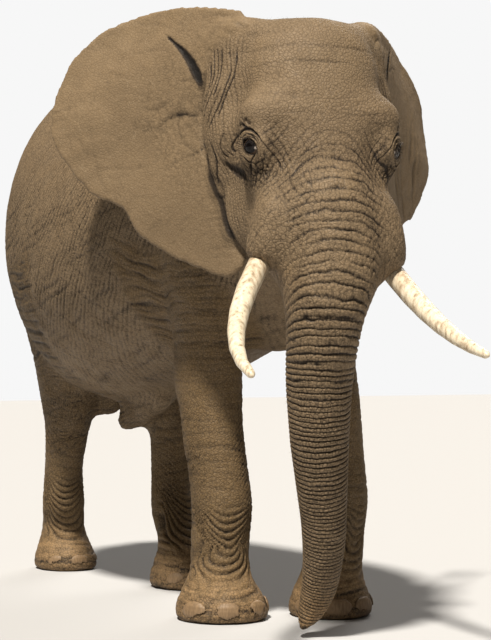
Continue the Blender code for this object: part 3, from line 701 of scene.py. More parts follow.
def trunk_wrinkles(points):
    """(depth in metres, painted shade) of the rings round the trunk and the arcs draped over the face."""
    length, beside = along_line(points, trunk_line())
    aside, ahead = beside @ ACROSS, beside @ FORWARD
    turn = np.arctan2(aside, ahead)
    reach = np.hypot(aside, ahead)
    height = points[:, 2]
    facing = ramp(height, 1.15, 1.75)
    bent = np.minimum(np.abs(turn), 1.9)
    drape = facing * (0.042 * bent**2 + 0.16 * np.maximum(bent - 0.62, 0) ** 2)
    length = length + drape
    table = np.arange(0.0, RING_TABLE_END, RING_TABLE_STEP)
    spacing = np.interp(table, RING_AT, RING_SPACING)
    turns = np.concatenate([[0.0], np.cumsum(RING_TABLE_STEP / spacing)[:-1]])
    phase = np.interp(length, table, turns)
    flat = points * (0.45, 0.45, 1.0)
    phase = phase + (0.40 + 0.08 * facing) * noise(flat, 0.14, 3.0)
    phase = phase + 0.17 * noise(points, 0.055, 11.0)
    ring = np.round(phase)
    around = np.column_stack([np.sin(turn), np.cos(turn), np.zeros(len(turn))])
    seat = around * (0.9 + 0.9 * facing[:, None]) + np.outer(ring * 5.17, (0, 0, 1))
    each = noise(np.outer(ring * 7.31, (1.0, 0.3, 0.2)), 1.0, 14.0)
    gain = 0.80 - 0.20 * facing + (0.45 + 0.25 * facing) * noise(seat, 1.0, 2.0) + 0.30 * each
    gain = np.clip(gain, 0.08, 1.5)
    size = np.interp(length, table, spacing)
    deep = size * np.interp(height, RING_HEIGHTS, RING_DEPTHS)
    sheath = facing * ramp(bent, 0.75, 1.05) * ramp(height, 2.0, 1.85)
    front = (0.45 + 0.55 * ramp(np.cos(turn), -0.6, 0.2)) * (1 - 0.8 * sheath)
    rings = valleys(phase, 2.8) * gain
    doubled = 2 * phase + 0.5 * noise(points, 0.07, 12.0)
    seat = around * 1.4 + np.outer(np.round(doubled) * 3.3, (0, 0, 1))
    finer = valleys(doubled, 3.0) * np.clip(0.35 + 0.7 * noise(seat, 1.0, 5.0), 0, 1)
    wide = turn * np.maximum(reach, 0.08)
    net = facing * ramp(bent, 0.35, 0.75) * ramp(height, 2.30, 2.10) * ramp(height, 1.45, 1.65)
    lean = folds(points, height * 0.75 + np.abs(wide) * 0.66, "face leaning")
    cross = folds(points, height * 0.66 - np.abs(wide) * 0.75, "face crossing")
    rings = rings * (1 - 0.55 * net * (1 - sheath))
    cells = np.column_stack([wide / (0.015 + 0.008 * facing), phase * 1.15, np.zeros(len(wide))])
    upright = cracks(cells, "trunk")
    depth = deep * front * (rings + (0.25 + 0.2 * facing) * finer)
    depth = depth + (0.0026 - 0.0004 * facing) * upright * (1 - rings)
    meshed = net * (1 - 0.6 * sheath)
    depth = depth + meshed * (0.0042 * lean + 0.0040 * cross)
    # Painted shade in the rings, the face's net of lines and the upright cracks.
    painted_shade = meshed * (0.55 * lean + 0.5 * cross)
    painted_shade = painted_shade + front * (1.55 * valleys(phase, 4.0) * gain + 0.55 * finer)
    painted_shade = painted_shade + (0.42 + 0.1 * facing) * upright
    return depth, painted_shade * (1 - 0.30 * facing)


def leg_axis(name, height):
    """The middle of a leg at each height, from its solids' corners."""
    corners = np.concatenate(
        [points_of(nodes[f"{name}_{part}"].data) for part in ("foot", "lower", "upper")]
    )
    levels = np.arange(0.05, 1.3, 0.1)
    found = []
    for level in levels:
        band = corners[np.abs(corners[:, 2] - level) < 0.1]
        found.append((band.min(axis=0) + band.max(axis=0))[:2] / 2)
    found = np.array(found)
    return np.column_stack([np.interp(height, levels, found[:, k]) for k in (0, 1)])


def leg_wrinkles(points, name):
    """Lines round a leg that sag at the front, close creases above the sole and a fine crackle."""
    centre = leg_axis(name, points[:, 2])
    beside = points[:, :2] - centre
    outer = -0.38 if name.endswith("right") else 0.38
    turn = np.arctan2(beside[:, 0], -beside[:, 1]) - outer
    turn = (turn + np.pi) % (2 * np.pi) - np.pi
    reach = np.hypot(beside[:, 0], beside[:, 1])
    height = points[:, 2]
    wrist = ramp(height, 0.15, 0.24) * ramp(height, 0.62, 0.46)
    sag = (0.05 + 0.09 * ramp(height, 0.25, 0.45)) * wrist
    lean = 0.05 * noise(points, 0.5, 20.0)
    level = height - sag * np.minimum(turn**2, 1.7) + lean * turn
    major = folds(points, level, "leg large")
    minor = folds(points, level, "leg small")
    slope = height + np.sign(outer) * 0.95 * turn * reach
    slant = folds(points, slope, "leg slanting")
    slant = slant * ramp(height, 0.36, 0.52) * ramp(height, 1.15, 0.95)
    slant = slant * (0.25 + 0.75 * ramp(np.cos(turn), 0.95, 0.70))
    around = np.column_stack([np.sin(turn), np.cos(turn)]) * np.maximum(reach, 0.1)[:, None]
    cells = np.column_stack([around / 0.024, level / 0.015])
    fine = cracks(cells, "leg")
    strong = 0.5 + 0.6 * ramp(noise(points, 0.25, 31.0), -0.7, 0.5)
    knuckle = wrist * ramp(np.cos(turn), -0.25, 0.30)
    bands = folds(points, level, "wrist bands") * knuckle
    calm = (1 - knuckle) * (1 - 0.45 * ramp(height, 0.40, 0.55) * ramp(height, 1.25, 1.05))
    major, minor = major * calm, minor * calm
    sole = ramp(height, 0.16, 0.05)
    depth = strong * (0.012 * major + 0.0062 * minor + 0.0095 * slant)
    depth = (depth + 0.0012 * fine + 0.017 * bands) * (1 - 0.5 * sole)
    # Painted shade in the folds, wrist bands and crackle; the skin is also darker towards the sole.
    painted_shade = strong * (1.0 * major + 0.65 * minor + 0.9 * slant)
    return depth, painted_shade + 0.26 * fine + 0.25 * sole + 1.25 * bands**1.5


def body_wrinkles(points):
    """A diagonal net over the flanks, with longer soft folds under it."""
    x, y, z = points.T
    drop = z + 0.5 * np.abs(x)
    high = 1 - 0.5 * ramp(z, 2.05, 2.35)
    main = folds(points, y * 0.80 + drop * 0.60, "flank main")
    main = main * (1 - 0.45 * ramp(z, 1.55, 1.25)) * high
    crossing = 0.65 * folds(points, y * 0.70 - drop * 0.72, "flank crossing") * high
    level = folds(points, z + 0.25 * y, "flank level") * (1 - 0.8 * ramp(z, 1.85, 2.2))
    fine = cracks(points, "flank")
    soft = noise(np.column_stack([x / 0.2, (y + 0.3 * z) / 0.13, z / 0.55]), 1.0, 61.0)
    depth = 0.0085 * main + 0.0045 * crossing + 0.0058 * level + 0.0013 * fine
    # Painted shade in the net and the folds, stronger on the rump.
    painted_shade = 0.85 * main + 0.45 * crossing + 0.55 * level + 0.26 * fine
    rump = ramp(y, 0.9, 1.4) * ramp(z, 2.3, 2.0)
    depth = (1 + 0.35 * rump) * depth + 0.012 * ramp(soft, 0.2, 1.3)
    return depth, (1.15 + 0.45 * rump) * painted_shade


def head_wrinkles(points):
    """Fine crackle over the forehead, level lines across it and upright ones at the temples."""
    aside, ahead = place_of(points)
    fine = cracks(points, "head fine")
    coarse = cracks(points + 0.01 * noise(points, 0.05, 71.0)[:, None], "head coarse")
    temple = ramp(np.abs(aside), 0.24, 0.33) * ramp(ahead, -0.03, -0.14)
    upright = folds(points, ahead + 0.15 * points[:, 2], "temple") * temple
    brow = folds(points, points[:, 2], "brow") * ramp(ahead, -0.3, -0.1)
    coarse = coarse * (1 - 0.75 * temple) * (1 - 0.4 * ramp(points[:, 2], 2.25, 2.40))
    depth = 0.0012 * fine + 0.0018 * coarse + 0.0085 * upright + 0.0055 * brow
    # The second value is painted shade in the crackle and the temple and brow lines.
    return depth, 0.18 * fine + 0.18 * coarse + 0.85 * upright + 0.5 * brow


def ear_wrinkles(points):
    """Veins, creases and broken wrinkles in the ear's sheet, and a fine crackle."""
    out, angle = ear_polar(points)
    fine = cracks(points, "ear fine")
    bent = angle + 0.10 * noise(points, 0.25, 83.0)
    rays = folds(points, bent * np.maximum(out, 0.15), "ear rays")
    rings = folds(points, out, "ear rings")
    web = cracks(points + 0.03 * noise(points, 0.12, 86.0)[:, None], "ear veins")
    patch = ramp(noise(points, 0.16, 78.0), 0.1, 1.0)
    root = ramp(out, 0.48, 0.24)
    coarse = cracks(points + 0.02 * noise(points, 0.06, 79.0)[:, None], "ear coarse")
    rough = root + 0.5 * patch
    depth = 0.0007 * fine * (0.4 + patch) + 0.0046 * rays + 0.0036 * rings + 0.0050 * root * rays
    pleats = ear_pleats(points)
    depth = depth - 0.0018 * web + 0.004 * pleats + 0.0022 * rough * coarse
    # Painted shade in the rays, rings, pleats and crackle of the ear.
    painted_shade = 0.16 * fine * (0.5 + patch) + 0.45 * rays + 0.36 * rings + 0.6 * root * rays
    return depth, painted_shade + 1.15 * pleats + 0.30 * rough * coarse


def sculpt(mesh):
    """Raises the brows and sheaths and sinks the temples and the waist of the face."""
    points = points_of(mesh)
    push = np.zeros(len(points))
    for across, ahead, up, radius, amount in HEAD_FORMS:
        for side in (-1, 1):
            away = lengths_of(points - in_head(side * across, ahead, up))
            push += amount * np.exp(-((away / radius) ** 2))
    push *= 1 - read_mask(mesh, "ear")
    for name, sign in (("foreleg_right", -1), ("foreleg_left", 1)):
        for behind, up, radius, amount in ELBOW_FORMS:
            x, y = leg_axis(name, np.array([up]))[0]
            away = lengths_of(points - (x + sign * 0.13, y + behind, up))
            push += amount * np.exp(-((away / radius) ** 2))
    move_points(mesh, points + push[:, None] * normals_of(mesh))


def temple_fan():
    """Upright creases that spread from the front of the ear's root up to the crown."""
    behind, ahead = np.array(FAN_BEHIND), np.array(FAN_AHEAD)
    fan = []
    for i, share in enumerate(np.linspace(-0.15, 1.1, FAN_CREASES)):
        path = (1 - share) * behind + share * ahead
        path[:, 1] += 0.006 * np.sin(2.4 * i + np.arange(len(path)))
        first, last = FAN_SPANS[i % len(FAN_SPANS)]
        deep = FAN_DEPTH * (0.7 + 0.3 * np.cos(1.9 * i))
        fan.append((path[first:last], 0.0040, deep, 0.95 + 0.25 * np.cos(2.3 * i)))
    return fan


def head_creases(points):
    """(depth, painted shade) of the creases that are placed one by one on both sides of the head."""
    depth, painted_shade = np.zeros(len(points)), np.zeros(len(points))
    for path, width, deep, shade in (*HEAD_CREASES, *temple_fan()):
        widths = np.broadcast_to(width, len(path))
        for side in (-1, 1):
            line = np.array([in_head(side * across, ahead, up) for across, ahead, up in path])
            chosen = lengths_of(points - line.mean(axis=0)) < CREASE_REACH
            own = points[chosen]
            line = [own[np.argmin(((own - p) ** 2).sum(axis=1))] for p in densified(line, 0.2)]
            line = rounded(np.array(line), 4)
            length, beside = along_line(own, line)
            whole = line_length(line)
            wide = np.interp(length / whole, np.linspace(0, 1, len(path)), widths)
            mark = np.exp(-((lengths_of(beside) / wide) ** CREASE_PROFILE))
            mark *= 0.15 + 0.85 * ramp(np.minimum(length, whole - length), 0.0, 0.12 * whole)
            mark *= np.clip(0.9 + 0.35 * noise(own, 0.03, 6.0), 0.3, 1.15)
            depth[chosen] += deep * mark
            painted_shade[chosen] += shade * mark
    return depth, painted_shade


def wrinkle(mesh):
    """Moves the skin in along its wrinkles, and keeps how much painted shade each vertex gets in its
    creases, for the material.
    """
    points = points_of(mesh)
    depth = np.zeros(len(points))
    painted_shade = np.zeros(len(points))
    share = {name: read_mask(mesh, name) for name in GROUPS}
    height = points[:, 2]
    toward_face = ramp(place_of(points)[1], -0.10, 0.06)
    face = share["head"] * toward_face * ramp(height, 2.30, 2.02)
    ringed = np.clip(share["trunk"] + face, 0, 1)
    left = np.clip(1 - sum(share.values()), 0, 1)
    work = [
        (ringed, trunk_wrinkles),
        (np.clip(share["head"] - face, 0, 1), head_wrinkles),
        (share["ear"], ear_wrinkles),
        (left + 0.4 * share["hindleg"] * ramp(height, 0.6, 1.0), body_wrinkles),
    ]
    for group in ("foreleg", "hindleg"):
        pair = [leg_axis(f"{group}_{side}", height)[:, 0] for side in ("left", "right")]
        aside = points[:, 0] - pair[0] / 2 - pair[1] / 2
        for side, sign in (("left", 1), ("right", -1)):
            own = share[group] * (sign * aside > 0)
            work.append((own, lambda where, name=f"{group}_{side}": leg_wrinkles(where, name)))
    for weight, shape in work:
        chosen = weight > 0.01
        part_depth, part_painted_shade = shape(points[chosen])
        depth[chosen] += weight[chosen] * part_depth
        painted_shade[chosen] += weight[chosen] * part_painted_shade
    # The crease where each ear meets the head: sunk, and given painted shade.
    seam = np.clip(4 * share["ear"] * (1 - share["ear"]), 0, 1) ** 2
    seam *= ramp(height, 2.52, 2.40)
    depth += 0.008 * seam
    painted_shade += 0.45 * seam
    crease_depth, crease_painted_shade = head_creases(points)
    depth += crease_depth
    painted_shade += crease_painted_shade
    points = points - depth[:, None] * normals_of(mesh)
    points[:, 2] = np.maximum(points[:, 2], 0.0)
    move_points(mesh, points)
    write_mask(mesh, "painted_shade", painted_shade)


# ---------------------------------------------------------------- materials


class Nodes:
    """Short ways to add nodes to a material."""

    def __init__(self, name):
        self.material = bpy.data.materials.new(name)
        self.material.use_nodes = True
        self.tree = self.material.node_tree
        self.shader = self.tree.nodes["Principled BSDF"]
        self.place = self.tree.nodes.new("ShaderNodeTexCoord").outputs["Object"]

    def add(self, kind, inputs=(), **settings):
        node = self.tree.nodes.new("ShaderNode" + kind)
        for name, value in settings.items():
            setattr(node, name, value)
        for key, value in dict(inputs).items():
            self.feed(value, node.inputs[key])
        return node

    def feed(self, value, socket):
        if isinstance(value, bpy.types.NodeSocket):
            self.tree.links.new(value, socket)
        else:
            socket.default_value = value

    def mask(self, name):
        return self.add("Attribute", attribute_name=name).outputs["Fac"]

    def noise(self, size, detail=3.0, rough=0.55):
        made = self.add("TexNoise", {"Vector": self.place, "Scale": 1 / size, "Detail": detail,
                                     "Roughness": rough})
        return made.outputs[0]

    def bent(self, size, amount):
        """The place, shifted by noise of this size."""
        swirl = self.add("TexNoise", {"Vector": self.place, "Scale": 1 / size}).outputs["Color"]
        moved = self.add("VectorMath", {0: swirl, 3: amount}, operation="SCALE").outputs[0]
        return self.add("VectorMath", {0: self.place, 1: moved}, operation="ADD").outputs[0]

    def crackle(self, size):
        made = self.add("TexVoronoi", {"Vector": self.place, "Scale": 1 / size},
                        feature="DISTANCE_TO_EDGE")
        return made.outputs["Distance"]

    def between(self, value, low, high, start=0.0, end=1.0):
        made = self.add("MapRange", {"Value": value, "From Min": low, "From Max": high,
                                     "To Min": start, "To Max": end})
        return made.outputs["Result"]

    def maths(self, operation, first, second):
        made = self.add("Math", {0: first, 1: second}, operation=operation)
        return made.outputs["Value"]

    def times(self, first, second):
        return self.maths("MULTIPLY", first, second)

    def distance(self, spot):
        """How far the place is from a spot."""
        made = self.add("VectorMath", {0: self.place, 1: tuple(spot)}, operation="DISTANCE")
        return made.outputs["Value"]

    def stretched(self, scale, detail=3.0, rough=0.5):
        """Noise over the place scaled unevenly, for grain and streaks."""
        grain = self.add("Mapping", {"Vector": self.place, "Scale": scale}).outputs["Vector"]
        made = self.add("TexNoise", {"Vector": grain, "Scale": 1.0, "Detail": detail,
                                     "Roughness": rough})
        return made.outputs[0]

    def blend(self, share, first, second):
        """Two colours mixed. Each is a socket or a colour."""
        node = self.tree.nodes.new("ShaderNodeMix")
        node.data_type = "RGBA"
        self.feed(share, node.inputs[0])
        self.feed(first, node.inputs[6])
        self.feed(second, node.inputs[7])
        return node.outputs[2]

    def bump(self, height, distance, **more):
        made = self.add("Bump", {"Height": height, "Distance": distance, **more})
        return made.outputs["Normal"]

    def finish(self, body, roughness):
        self.feed(body, self.shader.inputs["Base Color"])
        self.feed(roughness, self.shader.inputs["Roughness"])


def colour(red, green, blue):
    return (red, green, blue, 1.0)


# ---------------------------------------------------------------- eyes


def eye_axes(side):
    """The way an eye looks, the way to its inner corner, and its own up."""
    sign = 1 if side == "left" else -1
    turn = EYE_TURN
    out = np.sin(turn) * sign * ACROSS + np.cos(turn) * FORWARD - 0.06 * UP
    out = out / np.linalg.norm(out)
    up = UP - (UP @ out) * out
    up = up / np.linalg.norm(up)
    inner = np.cross(up, out) * (1 if side == "right" else -1)
    return out, inner, up


CORNEA_EDGE = 0.82  # how far up the ball, as a share of its radius, the cornea starts
CORNEA_BULGE = 0.045
EYE_RINGS_REACH = 0.05
# Where each ring of the eye lies, as a share of that reach from the pupil's middle, and its colour.
EYE_RINGS = (
    (0.0, (0.004, 0.003, 0.003, 1)),
    (0.26, (0.004, 0.003, 0.003, 1)),
    (0.32, (0.016, 0.014, 0.014, 1)),
    (0.50, (0.011, 0.010, 0.011, 1)),
    (0.56, (0.005, 0.004, 0.003, 1)),
    (0.70, (0.15, 0.10, 0.07, 1)),
    (1.0, (0.26, 0.18, 0.13, 1)),
)

# Paths as (towards the inner corner, up) from the ball's middle, then width, depth and painted shade.
EYE_STRETCH = 1.12
EYE_CREASES = (
    (
        ((-0.085, -0.006), (-0.066, 0.035), (-0.050, 0.062), (-0.020, 0.077), (0.010, 0.070),
         (0.034, 0.046), (0.052, 0.016)),
        0.0050, 0.014, 2.0,
    ),
    (((0.036, 0.046), (0.066, -0.006), (0.090, -0.055), (0.108, -0.110)), 0.0032, 0.005, 0.55),
    (((0.056, 0.050), (0.086, -0.004), (0.110, -0.060), (0.126, -0.110)), 0.0034, 0.004, 0.30),
    (((0.072, 0.066), (0.106, 0.006), (0.130, -0.050), (0.144, -0.100)), 0.0034, 0.004, 0.25),
    (((-0.036, -0.034), (-0.018, -0.055), (-0.004, -0.069), (0.012, -0.050), (0.030, -0.024)),
     0.0034, 0.007, 1.5),
    (((-0.004, -0.069), (-0.010, -0.092), (-0.018, -0.120)), 0.0050, 0.010, 1.3),
    (((0.006, -0.076), (0.030, -0.070), (0.052, -0.052)), 0.0032, 0.005, 0.5),
    (((0.000, -0.112), (0.024, -0.104), (0.048, -0.088)), 0.0036, 0.006, 0.7),
    (((-0.116, 0.072), (-0.128, 0.030), (-0.122, -0.010), (-0.095, -0.040), (-0.060, -0.052)),
     0.0042, 0.006, 0.9),
    (((-0.094, 0.055), (-0.106, 0.018), (-0.098, -0.014), (-0.074, -0.034)), 0.0034, 0.004, 0.7),
    (((-0.048, 0.026), (-0.032, 0.046), (-0.008, 0.053), (0.016, 0.042), (0.034, 0.016)),
     0.0030, 0.004, 0.9),
    (((-0.070, 0.100), (-0.046, 0.096), (-0.020, 0.088)), 0.0090, 0.007, 0.55),
    (((-0.026, 0.122), (-0.012, 0.104), (0.004, 0.088)), 0.0110, 0.009, 0.65),
    (((-0.044, 0.128), (-0.034, 0.112), (-0.026, 0.098)), 0.0050, 0.005, 0.45),
)


def ball_centre(side):
    return EYE[side] - BALL_DEPTH * eye_axes(side)[0]


def opening(inward, upward):
    """0 on the rim of the eye's leaning almond opening, -1 in its middle, rising outwards."""
    lean = np.sin(LID_LEAN) * inward + np.cos(LID_LEAN) * upward
    long = np.cos(LID_LEAN) * inward - np.sin(LID_LEAN) * upward
    half = np.where(lean > 0, LID_UPPER, LID_LOWER)
    power = 1.6
    return ((np.abs(long) / LID_WIDTH) ** power + (np.abs(lean) / half) ** power) ** (1 / power) - 1


def socket_edge(inward, upward):
    """0 on the crease that bounds the lids, a leaning diamond, and -1 in its middle."""
    turned = upward - 0.10 * inward
    wide = np.where(inward > 0, 0.074, 0.104)
    tall = np.where(turned > 0, 0.074, 0.068)
    power = 1.65
    return ((np.abs(inward) / wide) ** power + (np.abs(turned) / tall) ** power) ** (1 / power) - 1


def bell(values, middle_at, width):
    return np.exp(-(((values - middle_at) / width) ** 2))


def larger(first, second, soft):
    """The larger of two heights, with a rounded valley where they meet."""
    share = ramp(first - second, -soft, soft)
    return second + (first - second) * share + soft * share * (1 - share)


def eye_creases(inward, upward):
    """(drop, shade) of the named creases round an eye."""
    flat = np.column_stack([inward, upward, np.zeros(len(inward))])
    drop, shade = np.zeros(len(inward)), np.zeros(len(inward))
    for path, width, deep, painted_shade in EYE_CREASES:
        line = densified(np.array([(EYE_STRETCH * x, y, 0.0) for x, y in path]), 0.25)
        line = rounded(line, 3)
        length, beside = along_line(flat, line)
        whole = line_length(line)
        fade = 0.1 + 0.9 * ramp(np.minimum(length, whole - length), 0.0, 0.2 * whole)
        fade = fade * np.clip(0.85 + 0.35 * noise(flat, 0.02, 5.0), 0.3, 1.1)
        mark = bell(lengths_of(beside), 0.0, width * fade) * fade
        drop = np.maximum(drop, deep * mark)
        shade = np.maximum(shade, painted_shade * mark)
    return drop, shade


def lids(mesh, side):
    """Draws the skin round an eyeball into lids with folds, and into a pit behind their rims."""
    points = points_of(mesh)
    out, inner, up = eye_axes(side)
    chosen = lengths_of(points - EYE[side]) < 0.23
    own = points[chosen]
    place = own - ball_centre(side)
    inward, upward, height = place @ inner, place @ up, place @ out
    aside = np.hypot(inward, upward)
    rim = opening(inward, upward)
    edge = socket_edge(inward, upward)
    upper = ramp(upward, -0.008, 0.016)
    shell = BALL_RADIUS + LID_THICK + 0.003 * upper
    dome = np.sqrt(np.maximum(shell**2 - aside**2, 0))
    level = LID_LEVEL + 0.005 * bell(edge, -0.30, 0.30)
    lid = larger(dome, level, 0.004)
    wave = 0.10 * noise(own, 0.035, 95.0)
    strength = np.clip(0.7 + 0.5 * noise(own, 0.03, 96.0), 0.15, 1.3) * (0.35 + 0.65 * upper)
    lines = sum(bell(rim + wave, at, wide) for at, wide, _ in LID_FOLDS) * strength
    for at, wide, deep in LID_FOLDS:
        lid = lid - deep * strength * bell(rim + wave, at, wide)
    lid = BALL_PIT + (lid - BALL_PIT) * ramp(rim, -0.07, 0.05)
    hold = (1 - ramp(aside, 0.045, 0.135)) * ramp(height, -0.06, 0.0)
    corner = folds(own, upward + 0.25 * inward, "lid corner")
    corner = corner * ramp(inward, -0.030, -0.050) * ramp(edge, 0.15, -0.05) * ramp(rim, 0.0, 0.2)
    fan = folds(own, np.arctan2(upward, -inward) * 0.06, "lid fan")
    fan = fan * ramp(inward, -0.06, -0.10) * ramp(edge, 0.05, 0.25) * ramp(aside, 0.21, 0.15)
    under = ramp(upward, -0.050, -0.080) * ramp(aside, 0.22, 0.14) * ramp(inward, 0.09, 0.05)
    net = cracks(own * (1.0, 1.0, 0.8), "under the eye") * under
    crease, crease_shade = eye_creases(inward, upward)
    drop = crease + 0.0035 * corner + 0.0035 * fan + 0.0055 * net
    moved = (lid - height) * hold - drop
    points[chosen] = own + moved[:, None] * out
    move_points(mesh, points)
    # Painted shade round the opening, along the lid folds and creases, and in the corner, fan and
    # under-eye lines.
    painted_shade = read_mask(mesh, "painted_shade")
    kept = painted_shade[chosen] * (1 - ramp(edge, 0.15, -0.1))
    shade = 1.6 * ramp(rim, 0.18, 0.02) + 0.9 * lines + crease_shade
    shade += 0.8 * corner + 0.6 * fan + 0.7 * net
    painted_shade[chosen] = kept + shade * ramp(aside, 0.22, 0.17)
    write_mask(mesh, "painted_shade", painted_shade)


def eye_paint(side):
    """A near-black pupil and iris, the brown white of the eye round them, and a pale inner corner that is
    partly the caruncle's colour and partly a painted highlight.
    """
    n = Nodes("eyeball_" + side)
    out, inner, up = eye_axes(side)
    inward, upward = CARUNCLE_GLINT
    ahead = np.sqrt(BALL_RADIUS**2 - inward**2 - upward**2)
    pupil = ball_centre(side) + out * BALL_RADIUS
    corner = ball_centre(side) + inward * inner + upward * up + ahead * out
    rings = n.add("ValToRGB", {"Fac": n.between(n.distance(pupil), 0.0, EYE_RINGS_REACH)})
    stops = rings.color_ramp.elements
    stops[0].color, stops[1].color = EYE_RINGS[0][1], EYE_RINGS[-1][1]
    for at, tone in EYE_RINGS[1:-1]:
        stops.new(at).color = tone
    # A pale patch near the inner corner: partly the caruncle's colour, partly a painted highlight.
    caruncle_glint = n.between(n.distance(corner), CARUNCLE_GLINT_RADIUS, 0.5 * CARUNCLE_GLINT_RADIUS)
    body = n.blend(caruncle_glint, rings.outputs["Color"], colour(0.72, 0.62, 0.54))
    n.finish(body, 0.10)
    n.shader.inputs["Specular IOR Level"].default_value = 0.18
    return n.material


def eyeball(side):
    """A ball with a bulging cornea, set in its socket to look out as its packed eye does."""
    out, inner = eye_axes(side)[:2]
    work = bmesh.new()
    bmesh.ops.create_uvsphere(work, u_segments=48, v_segments=32, radius=BALL_RADIUS)
    for vert in work.verts:
        forward = vert.co.z / BALL_RADIUS
        if forward > CORNEA_EDGE:
            vert.co *= 1 + CORNEA_BULGE * ((forward - CORNEA_EDGE) / (1 - CORNEA_EDGE)) ** 1.5
    mesh = built("eyeball_" + side, work)
    turn = Matrix(np.column_stack([inner, np.cross(out, inner), out]).tolist()).to_4x4()
    turn.translation = Vector(ball_centre(side))
    mesh.transform(turn)
    finished("eyeball_" + side, mesh, eye_paint(side), "cornea", "eye_" + side)


def detailed_skin():
    """The whole skin with its wrinkles and lids, finest where they are."""
    mesh = smooth_skin()
    label_parts(mesh)
    refine(mesh, (read_mask(mesh, "head") + read_mask(mesh, "trunk")) > 0.4)
    relax(mesh, 2)
    for side in EYE:
        for within in FINER_WITHIN:
            refine(mesh, lengths_of(points_of(mesh) - EYE[side]) < within)
    refine(mesh, (read_mask(mesh, "trunk") > 0.6) & (points_of(mesh)[:, 2] < FINER_TRUNK_BELOW))
    sculpt(mesh)
    wrinkle(mesh)
    for side in EYE:
        lids(mesh, side)
    return mesh


# ---------------------------------------------------------------- ivory, horn and hide


def ivory_paint(side):
    """Old ivory: cream, browner towards the root, with stains and fine cracks along its length."""
    n = Nodes("ivory_" + side)
    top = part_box("tusk_" + side)[1].z
    height = n.add("SeparateXYZ", {"Vector": n.place}).outputs["Z"]
    streaks = n.stretched((60.0, 60.0, 9.0), 4.0)
    stains = n.between(n.stretched((34.0, 34.0, 13.0), 5.0, 0.7), 0.47, 0.72)
    root = n.between(height, top - 0.24, top - 0.03, 0.0, 0.9)
    root = n.times(root, n.between(streaks, 0.35, 0.60, 0.45, 1.0))
    body = n.between(streaks, 0.40, 0.62)
    body = n.blend(body, colour(0.80, 0.72, 0.57), colour(0.70, 0.60, 0.44))
    body = n.blend(n.times(stains, 0.9), body, colour(0.27, 0.18, 0.10))
    body = n.blend(root, body, colour(0.30, 0.20, 0.11))
    body = n.blend(n.times(n.between(streaks, 0.60, 0.66), 0.5), body, colour(0.16, 0.10, 0.05))
    n.finish(body, n.between(stains, 0.0, 1.0, 0.35, 0.6))
    n.feed(n.bump(streaks, 0.0015, Strength=0.5), n.shader.inputs["Normal"])
    return n.material


def tusk(side):
    mesh = remeshed(node_mesh("tusk_" + side), IVORY_VOXEL)
    relax(mesh, 8)
    move_points(mesh, smoothed(mesh, 5))
    finished("ivory_" + side, mesh, ivory_paint(side), "ivory", "tusk_" + side)


def horn_paint():
    n = Nodes("horn")
    lines = n.stretched((120.0, 120.0, 30.0))
    body = n.between(lines, 0.35, 0.65)
    body = n.blend(body, colour(0.235, 0.152, 0.080), colour(0.165, 0.105, 0.054))
    n.finish(body, n.between(lines, 0.3, 0.7, 0.5, 0.7))
    n.feed(n.bump(lines, 0.0012, Strength=0.6), n.shader.inputs["Normal"])
    return n.material


def nail(name, look):
    """A toenail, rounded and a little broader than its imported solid, with a ridge across it."""
    mesh = remeshed(node_mesh(name), NAIL_VOXEL)
    relax(mesh, 14)
    points = points_of(mesh)
    centre = middle(name)
    foot = name.replace("nail_fore", "foreleg").replace("nail_hind", "hindleg")[:-2] + "_foot"
    outward = centre - middle(foot)
    outward = outward * (1, 1, 0) / np.linalg.norm(outward[:2])
    beside = np.cross(UP, outward)
    place = points - centre
    points = centre + sum(
        growth * np.outer(place @ way, way) for way, growth in zip((outward, beside, UP), NAIL_GROWTH)
    )
    points[:, 2] = np.maximum(points[:, 2], 0.001)
    ridge = valleys((points[:, 2] - 0.01) / 0.020, 3.0) * 0.0008
    move_points(mesh, points)
    move_points(mesh, points - ridge[:, None] * normals_of(mesh))
    finished(name.replace("nail", "toenail"), mesh, look, "horn", name)


